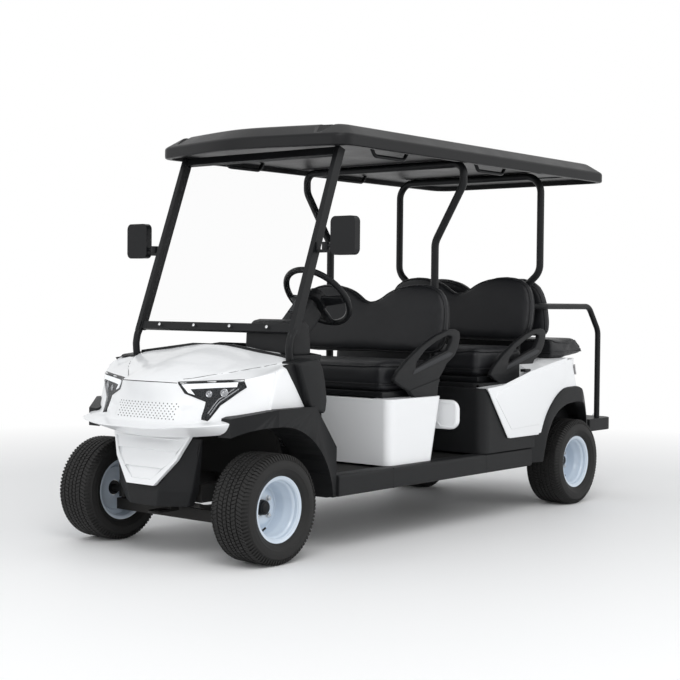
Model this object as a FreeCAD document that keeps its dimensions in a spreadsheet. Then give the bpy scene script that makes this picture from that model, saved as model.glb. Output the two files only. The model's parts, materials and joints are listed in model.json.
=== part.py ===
import FreeCAD, Part
import math
import os
from types import SimpleNamespace

import Sketcher

# Golf cart with three benches. +X points forward, +Y to the left, +Z up, in millimetres.
# The origin lies on the floor, under the middle of the cart's outline.

os.makedirs("parts", exist_ok=True)
document = FreeCAD.newDocument("GolfCart")

# Driving dimensions: name, value, what it measures
SIZES = (
    # Places along the cart
    ("front_axle_x", 1330, "front axle ahead of the origin"),
    ("front_overhang", 350, "bumper lip ahead of the front axle"),
    ("row_one_place", 785, "front edge of the first cushion behind the front axle"),
    ("row_pitch", 785, "from the first cushion to the second"),
    ("rear_axle_place", 820, "rear axle behind the front edge of the second cushion"),
    ("tail_place", 90, "tail panel behind the rear axle"),
    ("footrest_reach", 530, "footrest behind the tail panel"),
    # Wheels
    ("tyre_diameter", 459, "outer diameter of a tyre"),
    ("tyre_width", 205, "widest place of a tyre"),
    ("front_track", 944, "between the middles of the front tyres"),
    ("rear_track", 976, "between the middles of the rear tyres"),
    ("tread_width", 150, "flat of the tread"),
    ("seat_radius", 127, "rim where the tyre sits"),
    ("flange_radius", 146, "rim flange"),
    ("rim_width", 164, "over both flanges"),
    ("flange_thickness", 6, "rim flange"),
    ("rim_wall", 5, "rolled steel of the rim"),
    ("dish_radius", 72, "flat middle of the disc"),
    ("dish_depth", 84, "outer edge of the rim to the disc"),
    ("cone_rise", 16, "disc rising towards the rim"),
    ("hub_radius", 34, "hub behind the disc"),
    ("hub_length", 30, "hub behind the disc"),
    ("hub_cap_radius", 31, "cap over the hub's end"),
    ("hub_cap_height", 24, "cap over the hub's end"),
    ("hub_cap_wall", 4, "cap over the hub's end"),
    ("stud_pcd", 101.6, "circle of the wheel studs"),
    ("stud_radius", 8, "wheel stud with its nut"),
    ("stud_height", 16, "wheel stud with its nut"),
    ("bead_fit", 0.3, "tyre off the rim"),
    ("spindle_radius", 15, "wheel spindle"),
    ("running_fit", 0.05, "hole over its shaft, on the radius"),
    # Front axle and steering
    ("kingpin_inset", 87, "kingpin inside the middle of its tyre"),
    ("kingpin_radius", 12, "kingpin"),
    ("beam_size", 50, "square beam of the front axle"),
    ("beam_bottom", 140, "underside of the front beam"),
    ("knuckle_gap", 6, "knuckle over the beam and under the kingpin's cap"),
    ("knuckle_height", 74, "barrel of the knuckle"),
    ("knuckle_radius", 22, "barrel of the knuckle"),
    ("kingpin_cap_radius", 20, "cap of the kingpin"),
    ("kingpin_cap_height", 8, "cap of the kingpin"),
    ("arm_length", 80, "steering arm behind the kingpin"),
    ("arm_thickness", 10, "steering arm"),
    ("arm_width", 26, "steering arm"),
    ("arm_pin_radius", 6, "pin of the steering arm"),
    ("arm_pin_drop", 36, "pin under the steering arm"),
    ("tie_rod_radius", 8, "tie rod"),
    ("tie_eye_radius", 12, "eye at the end of the tie rod"),
    ("tie_eye_height", 20, "eye at the end of the tie rod"),
    ("tie_eye_slack", 2, "free eye round its pin, on the radius"),
    ("spring_width", 50, "leaf spring"),
    ("spring_pad", 6, "seat under the spring"),
    ("spring_thickness", 18, "leaf spring pack"),
    ("front_spring_length", 240, "front leaf springs"),
    ("rear_spring_length", 600, "rear leaf springs"),
    ("seat_inset", 4, "spring seat inside the spring's edges"),
    # Rear axle
    ("axle_tube_radius", 35, "rear axle tube"),
    ("drum_radius", 95, "brake drum"),
    ("drum_width", 50, "brake drum"),
    ("drum_gap", 6, "brake drum off the hub"),
    ("gearcase_radius", 82, "gear case on the rear axle"),
    ("gearcase_width", 130, "gear case on the rear axle"),
    ("motor_radius", 78, "drive motor"),
    ("motor_length", 260, "drive motor"),
    ("motor_back", 150, "motor behind the axle"),
    ("motor_height", 213, "middle of the motor over the ground"),
    # Frame
    ("rail_place", 190, "middle of a frame rail off the middle of the cart"),
    ("rail_width", 50, "frame rail"),
    ("rail_bottom", 235, "underside of the front rails"),
    ("rear_rail_bottom", 300, "underside of the rear rails"),
    ("rear_rail_top", 360, "top of the rear rails, under the footrest"),
    ("rail_front", 110, "front end of the rails ahead of the front axle"),
    ("rail_lap", 90, "front rails beside the rear rails"),
    ("cross_width", 50, "cross member"),
    ("outrigger_count", 4, "cross members under the floor"),
    ("tow_plate_length", 90, "tow plate ahead of the front cross member"),
    ("tow_plate_width", 64, "tow plate"),
    ("tow_plate_thickness", 10, "tow plate"),
    ("tow_hole_radius", 13, "hole of the tow plate"),
    ("tow_drop", 55, "tow plate under the rails"),
    # Floor
    ("floor_top", 330, "floor over the ground"),
    ("floor_thickness", 18, "floor pan"),
    ("floor_half_width", 500, "floor pan"),
    ("toe_foot", 270, "foot of the toe board behind the front axle"),
    ("toe_head", 150, "head of the toe board behind the front axle"),
    ("toe_height", 300, "toe board over the floor"),
    ("sill_half_width", 575, "outer face of the sills"),
    ("sill_top", 340, "top of the sills"),
    ("sill_bottom", 245, "underside of the sills"),
    ("sill_round", 14, "round of the sill's outer edges"),
    ("panel_gap", 0.3, "between panels that meet"),
    ("cut_over", 5, "overrun of every cut"),
    # Front body
    ("cowl_length", 564, "bumper lip to the rear seam of the cowl"),
    ("cowl_bottom", 508, "lowest edge of the bumper"),
    ("cowl_height", 381, "bumper edge to the rear seam of the hood"),
    ("cowl_half_width", 520, "cowl at the shoulders"),
    ("panel_wall", 6, "moulded body panels"),
    ("shield_height", 215, "lower shield under the bumper"),
    ("shield_top_half_width", 235, "lower shield, upper edge"),
    ("shield_bottom_half_width", 82, "lower shield, lower edge"),
    ("shield_bottom", 310, "lower shield over the ground"),
    ("shield_back_top", 195, "lower shield's upper edge ahead of the front axle"),
    ("shield_back_bottom", 262, "lower shield's lower edge ahead of the front axle"),
    ("shield_thickness", 22, "lower shield"),
    ("shield_border", 24, "raised border of the lower shield"),
    ("shield_step", 13, "depth of the steps across the lower shield"),
    ("tray_bottom", 222, "underside of the front tray"),
    ("tray_rear", 130, "rear edge of the tray ahead of the front axle"),
    ("tray_lip", 290, "height of the tray's front lip over the ground"),
    ("tray_tuck", 30, "underside of the tray behind its lip"),
    ("tray_nose", 95, "half width of the tray's flat front at its lip"),
    ("tray_top_nose", 225, "half width of the tray's flat front under the bumper"),
    ("tray_corner", 75, "front corners of the tray behind its lip"),
    ("tray_top_corner", 20, "front corners of the tray under the bumper"),
    ("tray_half_width", 190, "front tray at its bottom"),
    ("tray_lip_half_width", 222, "front tray at its lip"),
    ("tray_top_half_width", 262, "front tray under the bumper"),
    ("tray_round", 16, "upright corners of the front tray"),
    ("tray_back_top", 150, "tray's upper rear edge ahead of the front axle"),
    ("tray_wall", 6, "front tray"),
    ("arch_radius", 338, "front wheel arch"),
    ("fender_half_width", 560, "outer face of the front flares"),
    ("fender_top", 640, "top edge of the front flares"),
    ("fender_skin", 16, "skin of the flares"),
    ("liner_thickness", 6, "liner of the wheel wells"),
    ("well_half_width", 365, "inner edge of the front wheel wells"),
    ("fender_tip", 165, "front tip of the flare ahead of the front axle"),
    ("fender_tip_half_width", 434, "outer face of the flare at its front tip"),
    ("fender_turn", 12, "where the flare starts to draw in, ahead of the front axle"),
    ("fender_tip_top", 603, "top of the flare at its front tip"),
    ("fender_side_depth", 55, "side of the flare across the cart"),
    ("fender_leg", 360, "rear leg of the flare behind the front axle"),
    ("dash_front", 165, "dash ahead edge behind the front axle"),
    ("dash_depth", 215, "dash, front to rear"),
    ("dash_bottom", 740, "underside of the dash"),
    ("dash_top", 925, "top of the dash"),
    ("dash_half_width", 455, "dash between its legs"),
    ("dash_wall", 8, "dash moulding"),
    ("leg_half_width", 555, "outer face of the dash legs"),
    ("leg_width", 70, "dash leg across"),
    ("leg_top", 838, "top of the dash legs"),
    ("leg_round", 44, "upper edges of the dash legs"),
    ("binnacle_half_width", 118, "instrument hood behind the steering wheel"),
    ("binnacle_rise", 82, "instrument hood over the dash"),
    ("binnacle_depth", 118, "instrument hood, front to rear"),
    ("binnacle_round", 26, "edges of the instrument hood"),
    ("lamp_proud", 6, "headlamp lens over the cowl"),
    # Windscreen and roof
    ("screen_foot_x", 159, "foot of the screen frame behind the front axle"),
    ("screen_foot_z", 905, "height at which the screen's foot place is given"),
    ("post_foot_z", 800, "screen posts before the hood trims them"),
    ("screen_rake", 20.3, "windscreen lean, degrees"),
    ("screen_half_width", 470, "middle of a screen post"),
    ("post_width", 26, "screen post across"),
    ("post_depth", 46, "screen post, front to rear"),
    ("screen_bar_z", 965, "middle of the lower crossbar"),
    ("screen_bar_height", 34, "lower crossbar"),
    ("pane_thickness", 5, "windscreen pane"),
    ("pane_inset", 0.5, "pane off its frame"),
    ("roof_rim_z", 1755, "lower rim of the roof"),
    ("roof_band", 53, "side band of the roof"),
    ("roof_height", 111, "roof, rim to top"),
    ("roof_half_width", 570, "roof"),
    ("roof_front", 369, "front corners of the roof behind the front axle"),
    ("roof_bow", 95, "middle of the roof's front edge ahead of its corners"),
    ("roof_tail", 318, "rear edge of the roof behind the rear axle"),
    ("roof_corner", 90, "rounding of the roof's corners"),
    ("roof_chamfer", 70, "bevel round the roof's top"),
    ("roof_panel_inset", 70, "raised panel inside the bevel"),
    ("roof_panel_rise", 9, "raised panel on the roof"),
    ("roof_lip", 24, "depth of the hollow under the roof"),
    ("roof_lip_width", 26, "wall of the roof's rim"),
    ("roof_tube_radius", 19, "bent tubes of the roof frames"),
    ("roof_tube_bend", 90, "bend of the roof frame's tubes"),
    ("mid_frame_x", 602, "first roof frame behind the first cushion's front edge"),
    ("mid_frame_half_width", 500, "first roof frame at the roof"),
    ("mid_frame_waist", 335, "first roof frame behind the backrest"),
    ("mid_frame_neck", 1380, "lower bend of the first roof frame"),
    ("rear_frame_x", 596, "second roof frame behind the second cushion's front edge"),
    ("rear_frame_half_width", 466, "second roof frame at the roof"),
    ("rear_frame_waist", 330, "second roof frame behind the backrest"),
    ("rear_frame_neck", 1130, "lower bend of the second roof frame"),
    # Seats
    ("front_box_reach", 35, "front box ahead of the cushion's front edge"),
    ("front_box_depth", 420, "front box at its top"),
    ("front_box_waist", 350, "front box at its bottom"),
    ("front_box_top", 642, "top of the front box"),
    ("front_box_half_width", 545, "front box"),
    ("box_wall", 8, "walls of the seat boxes"),
    ("box_round", 40, "upright corners of the seat boxes"),
    ("guard_place", 455, "scuff guard behind the cushion's front edge"),
    ("guard_half_width", 595, "outer face of the scuff guards"),
    ("guard_bottom", 479, "scuff guard"),
    ("guard_height", 140, "scuff guard"),
    ("guard_width", 150, "scuff guard across"),
    ("guard_thickness", 26, "scuff guard"),
    ("mid_box_reach", 55, "second box ahead of the cushion's front edge"),
    ("mid_box_depth", 470, "second box"),
    ("mid_box_half_width", 515, "second box"),
    ("mid_box_top", 683, "top of the second box"),
    ("hatch_rim", 65, "rim round the hatch of the second box"),
    ("battery_length", 300, "battery pack along the cart"),
    ("battery_width", 860, "battery pack across"),
    ("battery_height", 270, "battery pack"),
    ("cushion_half_width", 480, "seat cushions"),
    ("cushion_depth", 455, "front and second cushions"),
    ("front_cushion_height", 162, "first cushion over its box"),
    ("mid_cushion_height", 172, "second cushion over its box"),
    ("cushion_round", 34, "upright corners of the cushions"),
    ("cushion_top_round", 27, "upper edges of the cushions"),
    ("cushion_base", 22, "board under a cushion"),
    ("cushion_base_inset", 16, "board inside the cushion's edge"),
    ("rear_cushion_depth", 440, "cushion that faces back"),
    ("rear_cushion_height", 100, "cushion that faces back"),
    ("rear_cushion_reach", 340, "front of that cushion behind the rear axle"),
    ("back_thickness", 68, "backrests"),
    ("back_lean", 10, "lean of the backrests, degrees"),
    ("back_half_width", 472, "backrests"),
    ("back_gap", 42, "backrest over its cushion"),
    ("back_foot", 496, "middle of a backrest's foot behind its cushion's front edge"),
    ("back_side_height", 208, "straight side of a backrest"),
    ("back_valley_height", 240, "backrest at its middle"),
    ("back_peak_height", 352, "corner that the humps are rounded from"),
    ("back_hump_place", 306, "the same corner off the middle"),
    ("back_shoulder_round", 200, "shoulders of the backrests"),
    ("back_hump_round", 180, "humps of the backrests"),
    ("back_valley_round", 120, "valley between the humps"),
    ("back_round", 22, "edges of the backrests"),
    ("rear_back_half_width", 402, "rear-facing backrest"),
    ("bracket_width", 36, "backrest brackets on the roof frames"),
    ("bracket_height", 90, "backrest brackets on the roof frames"),
    ("bracket_lift", 70, "bracket over the backrest's foot"),
    ("rear_back_foot", 60, "foot of the rear-facing backrest ahead of the rear axle"),
    ("arm_rest_place", 510, "middle of the armrest plates off the middle of the cart"),
    ("arm_rest_thickness", 26, "armrest plates"),
    ("arm_rest_reach", 566, "rear of an armrest behind the cushion's front edge"),
    ("arm_rest_rise", 310, "armrest over its box"),
    # Rear body
    ("rear_body_top", 786, "deck under the rear-facing cushion"),
    ("quarter_half_width", 588, "outer face of the rear quarters"),
    ("tail_half_width", 500, "tail panel"),
    ("quarter_top_front", 664, "quarter's upper front corner"),
    ("quarter_bottom", 406, "quarter's lower edge"),
    ("quarter_front", 894, "quarter's upper front corner ahead of the rear axle"),
    ("quarter_front_foot", 690, "quarter's lower front corner ahead of the rear axle"),
    ("quarter_rear", 30, "quarter's rear edge ahead of the rear axle"),
    ("rear_arch_radius", 345, "rear wheel arch"),
    ("rear_flare_radius", 452, "outside of the rear flare"),
    ("rear_flare_half_width", 602, "outer face of the rear flares"),
    ("rear_flare_top", 640, "flat top of the rear flares"),
    ("rear_well_half_width", 372, "inner edge of the rear wheel wells"),
    ("rear_body_bottom", 402, "tail panel's lower edge"),
    ("footrest_top", 430, "footrest"),
    ("footrest_thickness", 69.7, "footrest"),
    ("footrest_half_width", 460, "footrest"),
    ("footrest_round", 60, "corners of the footrest"),
    ("grab_radius", 16, "grab bars"),
    ("grab_place", 430, "grab bars off the middle"),
    ("grab_bend", 75, "bends of the grab bars"),
    ("grab_foot", 137, "foot of a grab bar ahead of the footrest's rear edge"),
    ("grab_shoulder_z", 930, "where a grab bar turns forward"),
    ("grab_top_z", 1068, "top run of a grab bar"),
    ("grab_turn", 110, "slant of a grab bar, along the cart"),
    ("quarter_slant", 62, "how far the quarter's rear edge leans forward"),
    ("tail_lamp_length", 72, "tail lamp along the cart"),
    ("tail_lamp_height", 60, "tail lamp"),
    ("tail_lamp_place", 62, "rear end of the tail lamp behind the quarter's rear edge"),
    ("tail_lamp_drop", 90, "bottom of the tail lamp under the deck"),
    ("tail_lamp_depth", 12, "tail lamp over the corner's face"),
    # Controls
    ("column_y", 300, "steering column off the middle"),
    ("wheel_centre_x", 531, "steering wheel behind the front axle"),
    ("wheel_centre_z", 1105, "steering wheel over the ground"),
    ("column_lean", 47, "steering column from upright, degrees"),
    ("column_radius", 24, "steering column"),
    ("column_length", 560, "steering column"),
    ("wheel_radius", 160, "steering wheel ring"),
    ("wheel_grip", 14, "grip of the steering wheel"),
    ("wheel_boss_radius", 46, "middle of the steering wheel"),
    ("wheel_boss_height", 40, "middle of the steering wheel"),
    ("wheel_drop", 34, "boss under the ring"),
    ("spoke_radius", 9, "spokes of the steering wheel"),
    ("pedal_width", 80, "brake pedal"),
    ("pedal_height", 60, "brake pedal"),
    ("pedal_thickness", 12, "pedals"),
    ("pedal_arm_radius", 9, "pedal arms"),
    ("pedal_lift", 110, "brake pedal over the floor"),
    ("accelerator_width", 60, "accelerator"),
    ("accelerator_height", 190, "accelerator"),
    ("pedal_spacing", 130, "between the pedals"),
    ("mirror_z", 1362, "middle of the mirrors"),
    ("mirror_reach", 633, "middle of a mirror's head"),
    ("mirror_width", 134, "mirror head"),
    ("mirror_height", 164, "mirror head"),
    ("mirror_depth", 34, "mirror head"),
    ("mirror_round", 26, "corners of the mirror head"),
    ("mirror_pivot_y", 528, "fold pivot of a mirror"),
    ("mirror_pivot_radius", 9, "fold pivot of a mirror"),
    ("mirror_arm_radius", 8, "arm of a mirror"),
)

sheet = document.addObject("Spreadsheet::Sheet", "Sizes")
for row, (alias, value, meaning) in enumerate(SIZES, start=1):
    sheet.set("A%d" % row, alias)
    sheet.set("B%d" % row, str(value))
    sheet.set("C%d" % row, meaning)
    sheet.setAlias("B%d" % row, alias)
document.recompute()
s = SimpleNamespace(**{alias: float(sheet.get(alias)) for alias, _, _ in SIZES})

Y_AXIS = FreeCAD.Vector(0, 1, 0)
Z_AXIS = FreeCAD.Vector(0, 0, 1)
ORIGIN = FreeCAD.Vector(0, 0, 0)

# Places that several pieces share
ROW_ONE_X = s.front_axle_x - s.row_one_place
ROW_TWO_X = ROW_ONE_X - s.row_pitch
REAR_AXLE_X = ROW_TWO_X - s.rear_axle_place
TAIL_X = REAR_AXLE_X - s.tail_place
FOOTREST_END_X = TAIL_X - s.footrest_reach
AXLE_Z = s.tyre_diameter / 2
FLOOR_BOTTOM = s.floor_top - s.floor_thickness
FULL_TURN = 360
HALF_TURN = FULL_TURN / 2
NEAR = 0.001

nodes = []


def vector(x, y, z):
    return FreeCAD.Vector(x, y, z)


def node(item, label):
    """Names a finished sub-part and lists it for export."""
    item.Label = label
    nodes.append(item)
    return item


def feature(label, shape):
    """A sub-part whose shape comes straight from the sheet's sizes."""
    item = document.addObject("Part::Feature", label)
    item.Shape = shape
    return node(item, label)


def bind(item, **expressions):
    """Ties properties of an object to cells of the sheet."""
    for name, expression in expressions.items():
        item.setExpression(name.replace("__", "."), expression)
    return item


def mirrored(shape):
    """The same shape on the right-hand side."""
    return shape.mirror(ORIGIN, Y_AXIS)


def both_sides(shape):
    return Part.makeCompound([shape, mirrored(shape)])


def rounded_edges(points, radii, closed=True):
    """Edges through the points, with a tangent arc of its radius at each corner."""
    count = len(points)
    if not isinstance(radii, (list, tuple)):
        radii = [radii] * count
    entries, exits, arcs = [], [], []
    for i, point in enumerate(points):
        end = not closed and i in (0, count - 1)
        radius = 0 if end else radii[i]
        before = points[i - 1] - point
        after = points[(i + 1) % count] - point
        angle = 0 if end else before.getAngle(after)
        if radius <= 0 or math.pi - angle < NEAR:
            entries.append(point)
            exits.append(point)
            arcs.append(None)
            continue
        reach = min(radius / math.tan(angle / 2), before.Length / 2, after.Length / 2)
        bend = reach * math.tan(angle / 2)
        first = point + before.normalize() * reach
        last = point + after.normalize() * reach
        bisector = (first + last) / 2 - point
        centre_far = bend / math.sin(angle / 2)
        middle = point + bisector.normalize() * (centre_far - bend)
        entries.append(first)
        exits.append(last)
        arcs.append(Part.Arc(first, middle, last).toShape())
    edges = []
    for i in range(count):
        if arcs[i] is not None:
            edges.append(arcs[i])
        if not closed and i == count - 1:
            break
        start, stop = exits[i], entries[(i + 1) % count]
        if (stop - start).Length > NEAR:
            edges.append(Part.LineSegment(start, stop).toShape())
    return edges


def outline(points, radii=0):
    """Closed wire with rounded corners."""
    return Part.Wire(rounded_edges(points, radii))


def prism(points, direction, radii=0):
    """Solid of a flat outline pushed along a direction."""
    return Part.Face(outline(points, radii)).extrude(direction)


def side_prism(pairs, left, right, radii=0):
    """Solid of an (x, z) outline between two planes across the cart."""
    points = [vector(x, right, z) for x, z in pairs]
    return prism(points, vector(0, left - right, 0), radii)


def block(low, high):
    """Box between two corners."""
    size = high - low
    return Part.makeBox(size.x, size.y, size.z, low)


def rod(start, stop, radius):
    """Round bar between two points."""
    along = stop - start
    return Part.makeCylinder(radius, along.Length, start, along)


def tube(points, radius, bend):
    """Round bar bent along the points."""
    edges = rounded_edges(points, bend, closed=False)
    path = Part.Wire(edges)
    start = points[0]
    along = points[1] - points[0]
    ring = Part.Wire(Part.Circle(start, along, radius).toShape())
    return path.makePipeShell([ring], True, True)


def inset(pairs, distances):
    """Outline moved inwards, edge by edge; a negative distance moves that edge outwards."""
    count = len(pairs)
    area = sum(pairs[i - 1][0] * pairs[i][1] - pairs[i][0] * pairs[i - 1][1] for i in range(count))
    turn = 1 if area > 0 else -1
    lines = []
    for i in range(count):
        (ax, az), (bx, bz) = pairs[i], pairs[(i + 1) % count]
        length = math.hypot(bx - ax, bz - az)
        ux, uz = (bx - ax) / length, (bz - az) / length
        shift = distances[i]
        lines.append((ax - uz * turn * shift, az + ux * turn * shift, ux, uz))
    result = []
    for i in range(count):
        ax, az, ux, uz = lines[i - 1]
        bx, bz, vx, vz = lines[i]
        cross = ux * vz - uz * vx
        along = ((bx - ax) * vz - (bz - az) * vx) / cross
        result.append((ax + ux * along, az + uz * along))
    return result


def body(label):
    item = document.addObject("PartDesign::Body", label)
    return node(item, label)


def origin_plane(owner, role):
    return next(part for part in owner.Origin.OriginFeatures if part.Role == role)


def sketch(owner, name, role, offset=None):
    """Sketch on one of the body's own planes, moved along its normal by a sheet expression."""
    item = owner.newObject("Sketcher::SketchObject", name)
    item.AttachmentSupport = [(origin_plane(owner, role), "")]
    item.MapMode = "FlatFace"
    if offset:
        item.setExpression(".AttachmentOffset.Base.z", offset)
    return item


def draw(item, edges):
    """Adds edges that lie in the sketch's own plane."""
    for edge in edges:
        curve = edge.Curve
        first, last = edge.firstVertex().Point, edge.lastVertex().Point
        if isinstance(curve, Part.Line):
            item.addGeometry(Part.LineSegment(first, last))
        else:
            middle = edge.valueAt((edge.FirstParameter + edge.LastParameter) / 2)
            item.addGeometry(Part.Arc(first, middle, last))


def draw_circle(item, x, y, radius, expression):
    """Circle whose radius follows the sheet."""
    place = item.addGeometry(Part.Circle(vector(x, y, 0), Z_AXIS, radius))
    rule = item.addConstraint(Sketcher.Constraint("Radius", place, radius))
    item.setExpression("Constraints[%d]" % rule, expression)


def pad(owner, name, profile, expression, midplane=False, reverse=False):
    item = owner.newObject("PartDesign::Pad", name)
    item.Profile = profile
    item.Midplane = midplane
    item.Reversed = reverse
    item.setExpression("Length", expression)
    return item


def revolve(owner, name, profile, axis_role):
    item = owner.newObject("PartDesign::Revolution", name)
    item.Profile = profile
    item.ReferenceAxis = (origin_plane(owner, axis_role), [""])
    item.Angle = FULL_TURN
    return item


# Wheels: the axle is Y and the outer side is +Y

# Tyre shoulder: how far below the tread it starts, and how far it swells past the straight line
SHOULDER_DROP_SHARE = 0.167
SHOULDER_SWELL_SHARE = 0.083


def tyre(label, x, y):
    """Tyre turned about the axle from its cross-section."""
    outer = s.tyre_diameter / 2
    half = s.tyre_width / 2
    bead = s.seat_radius + s.bead_fit
    toe = s.rim_width / 2 - s.flange_thickness - s.bead_fit
    lip = s.flange_radius + s.bead_fit
    over = s.rim_width / 2
    belly = (outer + bead) / 2
    shoulder = outer - (outer - bead) * SHOULDER_DROP_SHARE
    tread = s.tread_width / 2
    right = [(bead, toe), (lip, toe), (lip + s.bead_fit, over), (belly, half),
             (shoulder, (half + tread) / 2 + tread * SHOULDER_SWELL_SHARE), (outer, tread)]
    section = right + [(r, -w) for r, w in reversed(right)]
    item = body(label)
    profile = sketch(item, label + "_section", "XY_Plane")
    points = [vector(r, w, 0) for r, w in section]
    draw(profile, rounded_edges(points, 0))
    revolve(item, label + "_turn", profile, "Y_Axis")
    item.Placement = FreeCAD.Placement(vector(x, y, AXLE_Z), FreeCAD.Rotation())
    return item


STUD_COUNT = 4


def rim(label, x, y, side):
    """Steel wheel with a deep dish, a hub, a cap and four studs."""
    half = s.rim_width / 2
    face = half - s.dish_depth
    back = face - s.rim_wall
    bore = s.spindle_radius + s.running_fit
    barrel = s.seat_radius - s.rim_wall
    section = [(bore, back - s.hub_length), (s.hub_radius, back - s.hub_length), (s.hub_radius, back),
               (s.dish_radius, back), (barrel, back + s.cone_rise), (barrel, -half),
               (s.flange_radius, -half), (s.flange_radius, s.flange_thickness - half),
               (s.seat_radius, s.flange_thickness - half), (s.seat_radius, half - s.flange_thickness),
               (s.flange_radius, half - s.flange_thickness), (s.flange_radius, half), (barrel, half),
               (barrel, face + s.cone_rise), (s.dish_radius, face), (s.hub_cap_radius, face),
               (s.hub_cap_radius, face + s.hub_cap_height), (0, face + s.hub_cap_height),
               (0, face + s.hub_cap_height - s.hub_cap_wall),
               (bore, face + s.hub_cap_height - s.hub_cap_wall)]
    item = body(label)
    profile = sketch(item, label + "_section", "XY_Plane")
    draw(profile, rounded_edges([vector(r, w, 0) for r, w in section], 0))
    revolve(item, label + "_turn", profile, "Y_Axis")
    document.recompute()
    studs = sketch(item, label + "_stud", "XZ_Plane",
                   "-(Sizes.rim_width / 2 - Sizes.dish_depth)")
    draw_circle(studs, s.stud_pcd / 2, 0, s.stud_radius, "Sizes.stud_radius")
    stud = pad(item, label + "_studs", studs, "Sizes.stud_height", reverse=True)
    document.recompute()
    pattern = item.newObject("PartDesign::PolarPattern", label + "_pattern")
    pattern.Originals = [stud]
    pattern.Axis = (origin_plane(item, "Y_Axis"), [""])
    pattern.Angle = FULL_TURN
    pattern.Occurrences = STUD_COUNT
    item.Tip = pattern
    turn = 0 if side > 0 else HALF_TURN
    item.Placement = FreeCAD.Placement(vector(x, y, AXLE_Z), FreeCAD.Rotation(Z_AXIS, turn))
    return item


def build_wheels():
    corners = (("front", s.front_axle_x, s.front_track), ("rear", REAR_AXLE_X, s.rear_track))
    for end, x, track in corners:
        for side, sign in (("left", 1), ("right", -1)):
            tyre("%s_tyre_%s" % (end, side), x, sign * track / 2)
            rim("%s_rim_%s" % (end, side), x, sign * track / 2, sign)


# Running gear

def leaf_spring(x, low, high, length):
    """Curved pack of leaves on both sides, from the axle's seat up to the rail's underside."""
    half = length / 2
    base = low + s.spring_pad
    tip = high - s.spring_thickness
    lower = Part.Arc(vector(x - half, 0, tip), vector(x, 0, base), vector(x + half, 0, tip))
    upper = Part.Arc(vector(x + half, 0, high), vector(x, 0, base + s.spring_thickness),
                     vector(x - half, 0, high))
    ends = [Part.LineSegment(vector(x + half, 0, tip), vector(x + half, 0, high)),
            Part.LineSegment(vector(x - half, 0, high), vector(x - half, 0, tip))]
    wire = Part.Wire([lower.toShape(), ends[0].toShape(), upper.toShape(), ends[1].toShape()])
    leaf = Part.Face(wire).extrude(vector(0, s.spring_width, 0))
    leaf.translate(vector(0, s.rail_place - s.spring_width / 2, 0))
    near = s.rail_place - s.spring_width / 2 + s.seat_inset
    far = s.rail_place + s.spring_width / 2 - s.seat_inset
    seat = block(vector(x - s.beam_size / 2 + s.seat_inset, near, low - s.cut_over),
                 vector(x + s.beam_size / 2 - s.seat_inset, far, base + s.spring_thickness / 2))
    return leaf.fuse(seat)


BEAM_TOP = s.beam_bottom + s.beam_size
KNUCKLE_BOTTOM = BEAM_TOP + s.knuckle_gap
KNUCKLE_TOP = KNUCKLE_BOTTOM + s.knuckle_height
KINGPIN_Y = s.front_track / 2 - s.kingpin_inset
TIE_ROD_Z = KNUCKLE_BOTTOM - s.arm_pin_drop + s.tie_eye_height / 2


def build_front_axle():
    """Square beam with a kingpin at each end and its two springs."""
    half = KINGPIN_Y + s.kingpin_cap_radius
    low = vector(s.front_axle_x - s.beam_size / 2, -half, s.beam_bottom)
    high = vector(s.front_axle_x + s.beam_size / 2, half, BEAM_TOP)
    shape = block(low, high)
    cap_z = KNUCKLE_TOP + s.knuckle_gap
    for sign in (1, -1):
        foot = vector(s.front_axle_x, sign * KINGPIN_Y, BEAM_TOP - s.cut_over)
        head = vector(s.front_axle_x, sign * KINGPIN_Y, cap_z)
        shape = shape.fuse(rod(foot, head, s.kingpin_radius))
        cap = rod(head, head + Z_AXIS * s.kingpin_cap_height, s.kingpin_cap_radius)
        shape = shape.fuse(cap)
    leaf = leaf_spring(s.front_axle_x, BEAM_TOP, s.rail_bottom, s.front_spring_length)
    shape = shape.fuse([leaf, mirrored(leaf)])
    feature("front_axle", shape.removeSplitter())


def build_knuckles():
    """Barrel on the kingpin, spindle for the hub and arm for the tie rod."""
    hub_end = s.front_track / 2 + s.rim_width / 2 - s.dish_depth - s.rim_wall - s.hub_length
    for side, sign in (("left", 1), ("right", -1)):
        centre = vector(s.front_axle_x, sign * KINGPIN_Y, KNUCKLE_BOTTOM)
        shape = Part.makeCylinder(s.knuckle_radius, s.knuckle_height, centre)
        axle = vector(s.front_axle_x, sign * KINGPIN_Y, AXLE_Z)
        tip = vector(s.front_axle_x, sign * (hub_end + s.hub_length + s.rim_wall + s.hub_cap_wall), AXLE_Z)
        shape = shape.fuse(rod(axle, tip, s.spindle_radius))
        arm_low = centre + vector(-s.arm_length, -s.arm_width / 2, 0)
        arm = block(arm_low, centre + vector(0, s.arm_width / 2, s.arm_thickness))
        pin_top = centre + vector(-s.arm_length, 0, s.arm_thickness)
        eye = Part.makeCylinder(s.arm_width / 2, s.arm_thickness, pin_top - Z_AXIS * s.arm_thickness)
        shape = shape.fuse([arm, eye])
        shape = shape.fuse(rod(pin_top, pin_top - Z_AXIS * (s.arm_pin_drop + s.arm_thickness),
                               s.arm_pin_radius))
        bore = Part.makeCylinder(s.kingpin_radius + s.running_fit, s.knuckle_height + 2 * s.cut_over,
                                 centre - Z_AXIS * s.cut_over)
        feature("knuckle_" + side, shape.cut(bore).removeSplitter())


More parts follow.
